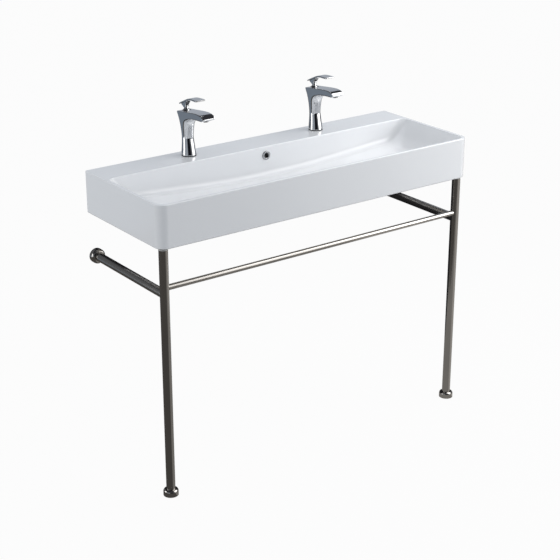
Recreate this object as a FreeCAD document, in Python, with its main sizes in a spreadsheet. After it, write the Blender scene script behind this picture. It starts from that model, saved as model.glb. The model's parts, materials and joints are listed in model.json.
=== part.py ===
import FreeCAD, Part
import math
import os
import Sketcher
from types import SimpleNamespace

# Console basin with two lever mixers on a two-legged bracket stand, sizes in mm and degrees.
# The origin is the middle of the footprint on the floor; -Y is the front, +Y the wall, +Z up.

SIZES = {
    # Ceramic basin
    "basin_width": 1080,
    "basin_depth": 387,
    "basin_height": 122,
    "rim_height": 858,
    "front_corner_radius": 28,
    "back_corner_radius": 6,
    "rim_round": 3,
    "skirt_round": 4,
    "rim_width": 10,
    "deck_depth": 106,
    "deck_thickness": 14,
    "ceramic_wall": 12,
    "bowl_depth": 88,
    "bowl_end_angle": 40,
    "bowl_end_depth": 64,
    "bowl_end_radius": 90,
    "bowl_floor_half": 130,
    "bowl_floor_radius": 2500,
    "bowl_corner_radius": 18,
    "leg_block_side": 48,
    "leg_block_height": 42,
    "dowel_hole_radius": 5,
    "dowel_hole_depth": 22,
    "tap_hole_radius": 17.5,
    "tap_x": 228,
    "tap_back_inset": 46.5,
    "wall_hole_radius": 7,
    "wall_hole_spacing": 280,
    "wall_hole_drop": 62,
    "drain_front_inset": 135.5,
    "drain_hole_radius": 23,
    "drain_seat_radius": 33.5,
    "drain_seat_depth": 1,
    "drain_boss_radius": 41,
    "duct_bottom_drop": 118,
    "duct_half_width": 28,
    "duct_depth": 26,
    "duct_wall": 6,
    "overflow_drop": 27,
    "overflow_hole_radius": 11,
    # Overflow ring
    "ring_flange_radius": 13.5,
    "ring_flange_thickness": 2.6,
    "ring_flange_round": 1.2,
    "ring_bore": 7.5,
    "ring_sleeve_length": 10,
    # Waste
    "waste_flange_radius": 32,
    "waste_flange_thickness": 3,
    "waste_flange_round": 1.4,
    "waste_seal_thickness": 1.5,
    "waste_tube_radius": 22,
    "waste_bore": 19,
    "waste_tube_drop": 146,
    "waste_socket_length": 16,
    "waste_slot_height": 12,
    "waste_slot_width": 16,
    "waste_slot_drop": 111,
    "waste_bridge_drop": 127,
    "waste_bridge_height": 5,
    "waste_bridge_width": 6,
    "cone_washer_height": 7,
    "cone_washer_radius": 33,
    "lock_nut_height": 10,
    "lock_nut_flats": 58,
    "tail_radius": 16,
    "tail_thread_radius": 15.2,
    "tail_wall": 1.5,
    "tail_drop": 162,
    "latch_radius": 7,
    "latch_height": 24,
    "latch_floor": 3,
    "stem_radius": 4,
    "stem_foot_gap": 2,
    "plug_radius": 18.4,
    "plug_height": 4.5,
    "plug_round": 1.8,
    "plug_skirt_radius": 14,
    "plug_skirt_height": 6,
    "plug_seal_radius": 18,
    "plug_seal_height": 2.5,
    # Stand
    "leg_radius": 12.7,
    "rail_radius": 8,
    "tube_wall": 1.5,
    "leg_side_inset": 22,
    "leg_front_inset": 22,
    "leg_bottom": 12,
    "arm_drop": 132,
    "rail_drop": 114.5,
    "cover_radius": 21.5,
    "cover_height": 20,
    "cover_shoulder": 8,
    "cover_wall": 1.4,
    "cover_rest_gap": 0.4,
    "plate_radius": 19.4,
    "plate_thickness": 4,
    "plate_boss_length": 26,
    "plate_hole_circle": 16.2,
    "plate_hole_radius": 2.1,
    "foot_disc_radius": 18,
    "foot_disc_height": 6,
    "foot_stud_radius": 5,
    "foot_stud_top": 52,
    "insert_lip": 2,
    "insert_length": 24,
    "top_plug_lip": 2.5,
    "top_plug_length": 24,
    "top_pad_thickness": 3,
    "dowel_radius": 4.5,
    "dowel_length": 16,
    "spigot_length": 34,
    "spigot_stud_radius": 4,
    "spigot_insert_radius": 5.5,
    "spigot_insert_start": 1.5,
    "spigot_insert_end": 11,
    "spigot_crimp_radius": 6.8,
    "spigot_crimp_end": 7.5,
    "grub_radius": 2,
    "grub_length": 6,
    "grub_place": 30,
    # Tap body; the pivot and the waist stand above the deck, other heights start at the pivot
    "pivot_height": 125,
    "tap_base_radius": 22,
    "tap_base_corner": 21.5,
    "waist_height": 54,
    "waist_half_width": 17,
    "waist_set_back": 4.3,
    "waist_corner": 15.5,
    "shoulder_height": -30,
    "shoulder_half_width": 20.2,
    "shoulder_back": 24.5,
    "shoulder_front": 15,
    "shoulder_corner": 17,
    "crown_height": 15,
    "crown_half_width": 22.5,
    "crown_back": 28.5,
    "crown_front": 18,
    "crown_corner": 9,
    "top_back_height": 3,
    "top_back_reach": 26,
    "top_slope": 6.2,
    "spout_half_width": 21.5,
    "spout_root_height": -30,
    "spout_root_reach": 6,
    "spout_neck_reach": 16,
    "spout_neck_height": -25,
    "spout_arch_reach": 46,
    "spout_arch_height": -8,
    "spout_arch_round": 40,
    "spout_lip_reach": 100,
    "spout_lip_height": -4.5,
    "spout_nose_reach": 108.5,
    "spout_nose_height": 2.5,
    "spout_tip_reach": 101.5,
    "spout_tip_height": 8.5,
    "spout_crest_reach": 80,
    "spout_crest_round": 34,
    "spout_edge_round": 4,
    "inlet_radius": 5,
    "inlet_depth": 14,
    "inlet_x": 8.5,
    "inlet_y": 5,
    "channel_radius": 2.2,
    "outlet_radius": 2.8,
    "outlet_turn_height": -41,
    "outlet_turn_radius": 5,
    "outlet_riser_reach": 9.5,
    "outlet_bend_height": -5,
    "outlet_end_height": 6,
    "aerator_reach": 88,
    "aerator_bottom": -7.5,
    "aerator_top": 5,
    "aerator_radius": 10.5,
    "aerator_bore": 8.5,
    "aerator_insert_height": 8,
    "aerator_insert_inset": 0.5,
    "gasket_thickness": 1.5,
    "gasket_radius": 21.4,
    "gasket_bore": 16,
    # Tap mechanism, heights from the lever's pivot
    "pivot_back": 8,
    "cavity_floor": -30,
    "cavity_radius": 13.2,
    "housing_radius": 13,
    "housing_bore": 10.9,
    "housing_mouth": 12,
    "housing_floor": 2,
    "housing_ledge_height": -9.3,
    "housing_top_height": -4,
    "fixed_disc_thickness": 4,
    "port_x": 6,
    "outlet_port_front": 5.5,
    "moving_disc_radius": 7.4,
    "moving_disc_bottom": -23.7,
    "moving_disc_thickness": 3.6,
    "mixing_recess_radius": 5.4,
    "mixing_recess_depth": 1.4,
    "socket_radius": 5.2,
    "socket_bore": 3.4,
    "socket_top": -10,
    "arm_length": 14,
    "arm_lean": 12.5,
    "arm_half_width": 1.7,
    "arm_end_radius": 2.5,
    "sleeve_bottom": -9,
    "sleeve_flange_radius": 11.7,
    "sleeve_flange_top": -4.3,
    "sleeve_radius": 10.8,
    "sleeve_shoulder": -1.2,
    "sleeve_spigot_radius": 9.2,
    "sleeve_top": 3.5,
    "sleeve_slot_half_length": 6,
    "stem_slot_half_width": 3.35,
    "nut_bore": 11.2,
    "nut_height": 2.4,
    "dome_radius": 12,
    "dome_shell": 1.8,
    "dome_pole_flat": 0.1,
    "dome_slot_front": 3.6,
    "dome_slot_back": 8,
    "pin_radius": 1.5,
    "pin_half_length": 8.6,
    "stem_half_width": 3,
    "stem_bottom": -4,
    "stem_top": 28,
    # Lever, heights from its pivot
    "neck_gap_radius": 12.5,
    "neck_base_radius": 7.2,
    "neck_mid_radius": 7.6,
    "neck_mid_height": 18,
    "neck_top_radius": 8.2,
    "neck_top_height": 25,
    "neck_crown_height": 27,
    "blade_front_half_width": 16.5,
    "blade_neck_half_width": 11.5,
    "blade_rear_half_width": 8.5,
    "blade_flare_start": 8,
    "blade_flare_end": 60,
    "blade_narrowing": 18,
    "web_half_width": 7,
    "web_rear_reach": -31,
    "web_rear_height": 21,
    "web_heel_reach": -13,
    "web_heel_height": 12.5,
    "web_toe_reach": -1.5,
    "web_toe_height": 14.5,
    "web_front_reach": 0,
    "web_front_height": 24,
    "web_end_reach": 13,
    "web_end_height": 41,
    "blade_rear_reach": -34,
    "blade_rear_low": 18.1,
    "blade_rear_high": 21.6,
    "blade_mid_low_reach": 22,
    "blade_mid_low": 43.4,
    "blade_mid_high_reach": 24,
    "blade_mid_high": 48.2,
    "blade_front_low_reach": 67,
    "blade_front_low": 44.4,
    "blade_front_reach": 68,
    "blade_front_high": 48.5,
    "blade_bend_radius": 60,
    "blade_corner_round": 4,
    "lever_grub_radius": 2,
    "lever_grub_height": 19.5,
    "lever_grub_length": 3,
    "index_radius": 3,
    "index_depth": 1.6,
    "index_proud": 0.4,
    # Tap fixing below the deck
    "stud_front": 9.5,
    "stud_radius": 4,
    "stud_depth_in_body": 14,
    "stud_drop": 44,
    "clamp_radius": 25,
    "clamp_slot_half_width": 14.5,
    "clamp_slot_front": 3,
    "clamp_washer_thickness": 2.5,
    "clamp_plate_thickness": 3,
    "fixing_nut_height": 7,
    "fixing_nut_flats": 13,
    # Clearances
    "thread_gap": 0.05,
    "fit_gap": 0.1,
    "slide_gap": 0.3,
    "overrun": 5,
}


class Size:
    """A length or angle that keeps both its value and the sheet formula behind it."""

    def __init__(self, formula, value):
        self.formula = formula
        self.value = float(value)

    @staticmethod
    def of(other):
        return other if isinstance(other, Size) else Size(str(other), other)

    def __float__(self):
        return self.value

    def __neg__(self):
        return Size(f"(0 - {self.formula})", -self.value)

    def __add__(self, other):
        other = Size.of(other)
        return Size(f"({self.formula} + {other.formula})", self.value + other.value)

    def __sub__(self, other):
        other = Size.of(other)
        return Size(f"({self.formula} - {other.formula})", self.value - other.value)

    def __mul__(self, other):
        other = Size.of(other)
        return Size(f"({self.formula} * {other.formula})", self.value * other.value)

    def __truediv__(self, other):
        other = Size.of(other)
        return Size(f"({self.formula} / {other.formula})", self.value / other.value)


def tangent(angle):
    return Size(f"tan({angle.formula})", math.tan(math.radians(angle.value)))


def cosine(angle):
    return Size(f"cos({angle.formula})", math.cos(math.radians(angle.value)))


def sine(angle):
    return Size(f"sin({angle.formula})", math.sin(math.radians(angle.value)))


def root(size):
    return Size(f"sqrt({size.formula})", math.sqrt(size.value))


doc = FreeCAD.newDocument("console_basin")
sheet = doc.addObject("Spreadsheet::Sheet", "sizes")
for row, (name, value) in enumerate(SIZES.items(), 1):
    sheet.set(f"A{row}", name)
    sheet.set(f"B{row}", str(value))
    sheet.setAlias(f"B{row}", name)
doc.recompute()
s = SimpleNamespace(**{name: Size(f"sizes.{name}", value) for name, value in SIZES.items()})

NODES = []
TOLERANCE = 1e-6


def bind(thing, path, size):
    """Sets one property of an object and ties it to the sheet."""
    thing.setExpression(path, Size.of(size).formula)


class Piece:
    """One sub-part: a body whose sketches and features are tied to the sheet."""

    def __init__(self, label, x=0, y=0, z=0, turn=None, grouped=False):
        self.label = label
        self.steps = 0
        self.body = doc.addObject("PartDesign::Body", label)
        self.body.Label = label
        if turn:
            self.body.Placement = FreeCAD.Placement(FreeCAD.Vector(), turn)
        for axis, size in zip("xyz", (x, y, z)):
            bind(self.body, f"Placement.Base.{axis}", size)
        if not grouped:
            NODES.append(self.body)

    def add(self, kind, what):
        self.steps += 1
        return self.body.newObject(kind, f"{self.label}_{what}_{self.steps}")

    def sketch(self, plane, offset=0):
        sketch = self.add("Sketcher::SketchObject", "sketch")
        role = f"{plane}_Plane"
        support = next(item for item in self.body.Origin.OriginFeatures if item.Role == role)
        sketch.AttachmentSupport = (support, "")
        sketch.MapMode = "FlatFace"
        bind(sketch, "AttachmentOffset.Base.z", offset)
        return sketch

    def pad(self, sketch, length, backward=False, both=False):
        return self.extrude("PartDesign::Pad", "pad", sketch, length, backward, both)

    def pocket(self, sketch, length, forward=False, both=False):
        return self.extrude("PartDesign::Pocket", "pocket", sketch, length, forward, both)

    def extrude(self, kind, what, sketch, length, turned, both):
        feature = self.add(kind, what)
        feature.Profile = sketch
        bind(feature, "Length", length)
        feature.Reversed = turned
        if both:
            feature.SideType = "Symmetric"
        return feature

    def turn(self, sketch, cut=False):
        kind = "PartDesign::Groove" if cut else "PartDesign::Revolution"
        feature = self.add(kind, "turned")
        feature.Profile = sketch
        feature.ReferenceAxis = (sketch, ["V_Axis"])
        feature.Angle = 360
        return feature

    def loft(self, sketches):
        feature = self.add("PartDesign::AdditiveLoft", "loft")
        feature.Profile = sketches[0]
        feature.Sections = sketches[1:]
        return feature

    def bore_along(self, sketch, path):
        """Takes a round passage out along a path."""
        feature = self.add("PartDesign::SubtractivePipe", "passage")
        feature.Profile = sketch
        feature.Spine = path
        return feature

    def round_edges(self, radius, chosen):
        doc.recompute()
        base = self.body.Tip
        names = [f"Edge{i}" for i, edge in enumerate(base.Shape.Edges, 1) if chosen(edge)]
        if not names:
            raise ValueError(f"no edges to round on {self.label}")
        feature = self.add("PartDesign::Fillet", "rounding")
        feature.Base = (base, names)
        bind(feature, "Radius", radius)
        return feature


def pin_point(sketch, geometry, place, x, y):
    for kind, size in (("DistanceX", x), ("DistanceY", y)):
        number = sketch.addConstraint(
            Sketcher.Constraint(kind, -1, 1, geometry, place, float(size))
        )
        bind(sketch, f"Constraints[{number}]", size)


def set_radius(sketch, geometry, radius):
    number = sketch.addConstraint(Sketcher.Constraint("Radius", geometry, float(radius)))
    bind(sketch, f"Constraints[{number}]", radius)


def circle(sketch, x, y, radius):
    centre = FreeCAD.Vector(float(x), float(y), 0)
    drawn = Part.Circle(centre, FreeCAD.Vector(0, 0, 1), float(radius))
    geometry = sketch.addGeometry(drawn, False)
    pin_point(sketch, geometry, 3, x, y)
    set_radius(sketch, geometry, radius)


def corner_arc(before, here, after, radius):
    """Arc that rounds a corner, with the points where it meets the two lines."""
    back = (before - here).normalize()
    ahead = (after - here).normalize()
    half = back.getAngle(ahead) / 2
    reach = radius / math.tan(half)
    middle = (back + ahead).normalize()
    centre = here + middle * (radius / math.sin(half))
    first = here + back * reach
    last = here + ahead * reach
    return first, last, Part.Arc(first, centre - middle * radius, last)


def outline(sketch, corners, closed=True):
    """Outline through the corners, closed or open; a third size rounds that corner."""
    count = len(corners)
    spots = [FreeCAD.Vector(float(corner[0]), float(corner[1]), 0) for corner in corners]
    arrive = list(spots)
    leave = list(spots)
    arcs = {}
    for i, corner in enumerate(corners):
        if len(corner) == 3:
            after = spots[(i + 1) % count]
            arrive[i], leave[i], arcs[i] = corner_arc(spots[i - 1], spots[i], after, float(corner[2]))
    sides = count if closed else count - 1
    lines = [
        sketch.addGeometry(Part.LineSegment(leave[i], arrive[(i + 1) % count]), False)
        for i in range(sides)
    ]
    for i, corner in enumerate(corners):
        x, y = corner[:2]
        if not closed and i == count - 1:
            pin_point(sketch, lines[-1], 2, x, y)
            continue
        out = lines[i]
        if not closed and i == 0:
            pin_point(sketch, out, 1, x, y)
            continue
        into = lines[i - 1]
        if i not in arcs:
            sketch.addConstraint(Sketcher.Constraint("Coincident", into, 2, out, 1))
            pin_point(sketch, out, 1, x, y)
            continue
        arc = sketch.addGeometry(arcs[i], False)
        starts_here = sketch.getPoint(arc, 1).distanceToPoint(arrive[i]) < TOLERANCE
        first, last = (1, 2) if starts_here else (2, 1)
        sketch.addConstraint(Sketcher.Constraint("Tangent", into, 2, arc, first))
        sketch.addConstraint(Sketcher.Constraint("Tangent", arc, last, out, 1))
        set_radius(sketch, arc, corner[2])
        spot = sketch.addGeometry(Part.Point(spots[i]), True)
        pin_point(sketch, spot, 1, x, y)
        sketch.addConstraint(Sketcher.Constraint("PointOnObject", spot, 1, into))
        sketch.addConstraint(Sketcher.Constraint("PointOnObject", spot, 1, out))


def box(sketch, x0, x1, y0, y1, radius=None):
    """Rectangle, with rounded corners where a radius is given."""
    extra = () if radius is None else (radius,)
    outline(sketch, [(x, y) + extra for x, y in ((x0, y0), (x1, y0), (x1, y1), (x0, y1))])


def hexagon(sketch, x, y, flats):
    """Hexagon by its width across flats."""
    half = flats / 2
    side = half / root(Size.of(3))
    outline(
        sketch,
        [
            (x + side * 2, y),
            (x + side, y + half),
            (x - side, y + half),
            (x - side * 2, y),
            (x - side, y - half),
            (x + side, y - half),
        ],
    )


def lies_at(edge, axis, place):
    """Whether an edge lies in the plane across an axis at a place."""
    low = getattr(edge.BoundBox, f"{axis}Min")
    high = getattr(edge.BoundBox, f"{axis}Max")
    return abs(low - float(place)) < TOLERANCE and abs(high - float(place)) < TOLERANCE


def turned(label, corners, **place):
    """Piece turned about its own Z axis from an outline of radius and height."""
    piece = Piece(label, **place)
    sketch = piece.sketch("XZ")
    outline(sketch, corners)
    piece.turn(sketch)
    return piece


def ring(bore, radius, low, high):
    """Outline of a plain ring."""
    return [(bore, low), (radius, low), (radius, high), (bore, high)]


def group(label, pieces):
    """Identical small pieces kept together in one node."""
    compound = doc.addObject("Part::Compound", label)
    compound.Label = label
    compound.Links = [piece.body for piece in pieces]
    NODES.append(compound)


ABOUT_X = FreeCAD.Vector(1, 0, 0)
ABOUT_Z = FreeCAD.Vector(0, 0, 1)
FROM_WALL = FreeCAD.Rotation(ABOUT_X, 90)
ZERO = Size("0", 0)
SIDES = {"left": -1, "right": 1}

half_width = s.basin_width / 2
half_depth = s.basin_depth / 2
bowl_half = half_width - s.rim_width
bowl_back = half_depth - s.deck_depth
bowl_front = -half_depth + s.rim_width
leg_x = half_width - s.leg_side_inset
leg_y = -half_depth + s.leg_front_inset
underside = s.rim_height - s.basin_height
arm_height = underside - s.arm_drop
rail_height = underside - s.rail_drop
tap_y = half_depth - s.tap_back_inset
drain_y = -half_depth + s.drain_front_inset
tube_bore = s.leg_radius - s.tube_wall
rail_bore = s.rail_radius - s.tube_wall


def bowl_outline(sketch, skin, upper):
    """Long section of the bowl, grown outwards by a skin; the upper corners of one end are given."""
    slope = tangent(s.bowl_end_angle)
    low = -s.bowl_end_depth - skin
    edge = bowl_half + skin / cosine(s.bowl_end_angle)
    right = [(edge + low * slope, low, s.bowl_end_radius + skin)] + upper(edge, slope)
    left = [(-corner[0],) + corner[1:] for corner in reversed(right)]
    floor = (-s.bowl_depth - skin, s.bowl_floor_radius + skin)
    middle = [(-s.bowl_floor_half,) + floor, (s.bowl_floor_half,) + floor]
    outline(sketch, left + middle + right)


def build_basin():
    basin = Piece("basin", z=s.rim_height)
    corner = s.front_corner_radius
    back = s.back_corner_radius
    wall = s.ceramic_wall

    block = basin.sketch("XY", -s.basin_height)
    outline(
        block,
        [
            (-half_width, -half_depth, corner),
            (half_width, -half_depth, corner),
            (half_width, half_depth, back),
            (-half_width, half_depth, back),
        ],
    )
    basin.pad(block, s.basin_height)
    basin.round_edges(s.skirt_round, lambda edge: lies_at(edge, "Z", -s.basin_height))

    hollow = basin.sketch("XY", -s.basin_height)
    inner_x = half_width - wall
    inner_y = half_depth - wall
    box(hollow, -inner_x, inner_x, -inner_y, inner_y, corner - wall)
    basin.pocket(hollow, s.basin_height - s.deck_thickness, forward=True)

    lap = s.skirt_round / 2
    lap_x = inner_x + lap

    def shell_top(edge, slope):
        return [(lap_x, (lap_x - edge) / slope), (lap_x, -s.deck_thickness / 2)]

    shell_back = bowl_back + wall
    shell = basin.sketch("XZ", -shell_back)
    bowl_outline(shell, wall, shell_top)
    basin.pad(shell, shell_back + inner_y + lap)

    blocks = basin.sketch("XY", -s.basin_height)
    for side in SIDES.values():
        near = lap_x * side
        far = (half_width - s.leg_block_side) * side
        low, high = (near, far) if side < 0 else (far, near)
        box(blocks, low, high, -inner_y - lap, -half_depth + s.leg_block_side, wall)
    basin.pad(blocks, s.leg_block_height)

    duct_end = shell_back + s.duct_depth
    under_floor = basin.sketch("XY", -s.duct_bottom_drop)
    box(under_floor, -s.duct_half_width, s.duct_half_width, drain_y, duct_end)
    basin.pad(under_floor, s.duct_bottom_drop - s.bowl_depth - wall / 2)
    behind = basin.sketch("XY", -s.duct_bottom_drop)
    box(behind, -s.duct_half_width, s.duct_half_width, bowl_back + wall / 2, duct_end)
    basin.pad(behind, s.duct_bottom_drop - s.deck_thickness / 2)
    boss = basin.sketch("XY", -s.duct_bottom_drop)
    circle(boss, ZERO, drain_y, s.drain_boss_radius)
    basin.pad(boss, s.duct_bottom_drop - s.bowl_depth - wall / 2)

    def bowl_top(edge, slope):
        return [(edge + s.overrun * slope, s.overrun)]

    bowl = basin.sketch("XZ", -bowl_back)
    bowl_outline(bowl, ZERO, bowl_top)
    basin.pocket(bowl, bowl_back - bowl_front, forward=True)

    def bowl_corner(edge):
        on_top = lies_at(edge, "Z", ZERO)
        upright = lies_at(edge, "Y", bowl_back) or lies_at(edge, "Y", bowl_front)
        inside_bowl = edge.BoundBox.ZMin > -float(s.bowl_depth) - TOLERANCE
        return upright and inside_bowl and not on_top

    def bowl_rim(edge):
        reach = edge.BoundBox
        across = max(-reach.XMin, reach.XMax) < float(bowl_half) + TOLERANCE
        before_deck = reach.YMax < float(bowl_back) + TOLERANCE
        behind_front = reach.YMin > float(bowl_front) - TOLERANCE
        return lies_at(edge, "Z", ZERO) and across and before_deck and behind_front

    basin.round_edges(s.bowl_corner_radius, bowl_corner)
    basin.round_edges(s.rim_round, lambda edge: lies_at(edge, "Z", ZERO) and not bowl_rim(edge))
    basin.round_edges(s.rim_round, bowl_rim)

    seat = basin.sketch("XY", -s.bowl_depth - s.drain_seat_depth)
    circle(seat, ZERO, drain_y, s.drain_seat_radius)
    basin.pocket(seat, s.drain_seat_depth + s.overrun, forward=True)
    drain = basin.sketch("XY", -s.duct_bottom_drop - s.overrun)
    circle(drain, ZERO, drain_y, s.drain_hole_radius)
    basin.pocket(drain, s.duct_bottom_drop - s.bowl_depth + s.overrun * 2, forward=True)

    inside = s.duct_half_width - s.duct_wall
    passage_end = duct_end - s.duct_wall
    passage_floor = -s.duct_bottom_drop + s.duct_wall
    along = basin.sketch("XY", passage_floor)
    box(along, -inside, inside, drain_y, passage_end)
    basin.pocket(along, -passage_floor - s.bowl_depth - wall, forward=True)
    down = basin.sketch("XY", passage_floor)
    box(down, -inside, inside, shell_back, passage_end)
    basin.pocket(down, -passage_floor - s.deck_thickness, forward=True)
    overflow = basin.sketch("XZ", -bowl_back + s.overrun)
    circle(overflow, ZERO, -s.overflow_drop, s.overflow_hole_radius)
    basin.pocket(overflow, wall + s.overrun * 2)

    tap_holes = basin.sketch("XY")
    for side in SIDES.values():
        circle(tap_holes, s.tap_x * side, tap_y, s.tap_hole_radius)
    basin.pocket(tap_holes, s.deck_thickness + s.overrun)
    wall_holes = basin.sketch("XZ", -half_depth)
    for side in SIDES.values():
        circle(wall_holes, s.wall_hole_spacing / 2 * side, -s.wall_hole_drop, s.wall_hole_radius)
    basin.pocket(wall_holes, wall + s.overrun, forward=True)
    dowels = basin.sketch("XY", -s.basin_height)
    for side in SIDES.values():
        circle(dowels, leg_x * side, leg_y, s.dowel_hole_radius)
    basin.pocket(dowels, s.dowel_hole_depth, forward=True)


def build_overflow_ring():
    flange = s.ring_flange_thickness
    sleeve = s.overflow_hole_radius - s.fit_gap
    turned(
        "overflow_ring",
        [
            (s.ring_bore, -s.ring_sleeve_length),
            (sleeve, -s.ring_sleeve_length),
            (sleeve, ZERO),
            (s.ring_flange_radius, ZERO),
            (s.ring_flange_radius, flange, s.ring_flange_round),
            (s.ring_bore, flange, s.ring_flange_round),
        ],
        y=bowl_back,
        z=s.rim_height - s.overflow_drop,
        turn=FROM_WALL,
    )


def build_waste():
    """Waste pieces, with heights measured down from the rim."""
    place = {"y": drain_y, "z": s.rim_height}
    seat = -s.bowl_depth - s.drain_seat_depth
    flange_low = seat + s.waste_seal_thickness
    flange_high = flange_low + s.waste_flange_thickness
    tube_low = -s.waste_tube_drop
    socket_high = tube_low + s.waste_socket_length
    socket_bore = s.tail_thread_radius + s.thread_gap
    bridge_low = -s.waste_bridge_drop
    bridge_high = bridge_low + s.waste_bridge_height

    body = turned(
        "waste_body",
        [
            (socket_bore, tube_low),
            (s.waste_tube_radius, tube_low),
            (s.waste_tube_radius, flange_low),
            (s.waste_flange_radius, flange_low),
            (s.waste_flange_radius, flange_high, s.waste_flange_round),
            (s.waste_bore, flange_high),
            (s.waste_bore, socket_high),
            (socket_bore, socket_high),
        ],
        **place,
    )
    slots = body.sketch("XZ")
    half_slot = s.waste_slot_width / 2
    box(slots, -half_slot, half_slot, -s.waste_slot_drop, -s.waste_slot_drop + s.waste_slot_height)
    body.pocket(slots, s.waste_tube_radius * 2 + s.overrun, both=True)
    bridge = body.sketch("XY", bridge_low)
    half_bridge = s.waste_bridge_width / 2
    reach = s.waste_bore + s.thread_gap
    box(bridge, -reach, reach, -half_bridge, half_bridge)
    body.pad(bridge, s.waste_bridge_height)

    tube_fit = s.waste_tube_radius + s.fit_gap
    turned("waste_seal", ring(tube_fit, s.waste_flange_radius, seat, flange_low), **place)
    boss_low = -s.duct_bottom_drop
    cone_low = boss_low - s.cone_washer_height
    turned(
        "waste_cone_washer",
        [
            (tube_fit, cone_low),
            (s.cone_washer_radius, cone_low),
            (s.cone_washer_radius, boss_low - s.cone_washer_height / 2),
            (s.cone_washer_radius - s.cone_washer_height / 2, boss_low),
            (tube_fit, boss_low),
        ],
        **place,
    )
    nut = Piece("waste_lock_nut", **place)
    face = nut.sketch("XY", cone_low - s.lock_nut_height)
    hexagon(face, ZERO, ZERO, s.lock_nut_flats)
    circle(face, ZERO, ZERO, s.waste_tube_radius + s.thread_gap)
    nut.pad(face, s.lock_nut_height)
    tail_bore = s.tail_thread_radius - s.tail_wall
    tail_high = socket_high - s.fit_gap
    turned(
        "waste_tail",
        [
            (tail_bore, -s.tail_drop),
            (s.tail_radius, -s.tail_drop),
            (s.tail_radius, tube_low),
            (s.tail_thread_radius, tube_low),
            (s.tail_thread_radius, tail_high),
            (tail_bore, tail_high),
        ],
        **place,
    )

    latch_high = bridge_high + s.latch_height
    stem_fit = s.stem_radius + s.slide_gap
    turned(
        "waste_latch",
        [
            (ZERO, bridge_high),
            (s.latch_radius, bridge_high),
            (s.latch_radius, latch_high),
            (stem_fit, latch_high),
            (stem_fit, bridge_high + s.latch_floor),
            (ZERO, bridge_high + s.latch_floor),
        ],
        **place,
    )
    cap_low = flange_high - s.plug_height
    skirt_low = cap_low - s.plug_skirt_height
    stem_low = bridge_high + s.latch_floor + s.stem_foot_gap
    turned("waste_plug_stem", ring(ZERO, s.stem_radius, stem_low, skirt_low), **place)
    seal_fit = s.plug_skirt_radius + s.fit_gap
    turned(
        "waste_plug_cap",
        [
            (ZERO, skirt_low),
            (s.plug_skirt_radius, skirt_low),
            (s.plug_skirt_radius, cap_low),
            (s.plug_radius, cap_low),
            (s.plug_radius, flange_high, s.plug_round),
            (ZERO, flange_high),
        ],
        **place,
    )
    seal = ring(seal_fit, s.plug_seal_radius, cap_low - s.plug_seal_height, cap_low)
    turned("waste_plug_seal", seal, **place)


def build_legs():
    top = underside - s.top_pad_thickness - s.top_plug_lip
    insert_hole = s.spigot_insert_radius + s.thread_gap
    for name, side in SIDES.items():
        place = {"x": leg_x * side, "y": leg_y}
        leg = turned(f"{name}_leg", ring(tube_bore, s.leg_radius, s.leg_bottom, top), **place)
        to_arm = leg.sketch("XZ")
        circle(to_arm, ZERO, arm_height, insert_hole)
        leg.pocket(to_arm, s.leg_radius + s.overrun)
        to_rail = leg.sketch("YZ")
        circle(to_rail, ZERO, rail_height, insert_hole)
        leg.pocket(to_rail, s.leg_radius + s.overrun, forward=side < 0)


def build_arms():
    length = half_depth - leg_y - s.plate_thickness
    for name, side in SIDES.items():
        arm = Piece(f"{name}_arm", x=leg_x * side, y=leg_y, z=arm_height)
        tube = arm.sketch("XZ")
        circle(tube, ZERO, ZERO, s.leg_radius)
        circle(tube, ZERO, ZERO, tube_bore)
        arm.pad(tube, length, backward=True)
        saddle = arm.sketch("XY")
        circle(saddle, ZERO, ZERO, s.leg_radius + s.fit_gap)
        arm.pocket(saddle, s.leg_radius * 2 + s.overrun, both=True)
        screw = arm.sketch("XY")
        circle(screw, ZERO, s.grub_place, s.grub_radius + s.thread_gap)
        arm.pocket(screw, s.leg_radius + s.overrun)


def build_rail():
    rail = Piece("towel_rail", y=leg_y, z=rail_height)
    tube = rail.sketch("YZ")
    circle(tube, ZERO, ZERO, s.rail_radius)
    circle(tube, ZERO, ZERO, rail_bore)
    rail.pad(tube, leg_x * 2, both=True)
    saddles = rail.sketch("XY")
    screws = rail.sketch("XY")
    for side in SIDES.values():
        circle(saddles, leg_x * side, ZERO, s.leg_radius + s.fit_gap)
        circle(screws, (leg_x - s.grub_place) * side, ZERO, s.grub_radius + s.thread_gap)
    rail.pocket(saddles, s.rail_radius * 2 + s.overrun, both=True)
    rail.pocket(screws, s.rail_radius + s.overrun)


def build_spigot(label, bore, place):
    """Solid spigot with a stud, pointing along its own +Y from the leg's axis."""
    spigot = Piece(label, grouped=True, **place)
    plug = spigot.sketch("XZ")
    circle(plug, ZERO, ZERO, bore - s.fit_gap)
    spigot.pad(plug, s.leg_radius + s.spigot_length, backward=True)
    saddle = spigot.sketch("XY")
    circle(saddle, ZERO, ZERO, s.leg_radius + s.fit_gap)
    spigot.pocket(saddle, s.leg_radius * 2 + s.overrun, both=True)
    stud = spigot.sketch("XZ", -s.spigot_insert_start)
    circle(stud, ZERO, ZERO, s.spigot_stud_radius - s.thread_gap)
    spigot.pad(stud, s.leg_radius + s.overrun, backward=True)
    dimple = spigot.sketch("XY", -bore + s.grub_length - s.tube_wall)
    circle(dimple, ZERO, s.grub_place, s.grub_radius + s.thread_gap)
    spigot.pocket(dimple, s.grub_length)
    return spigot


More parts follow.
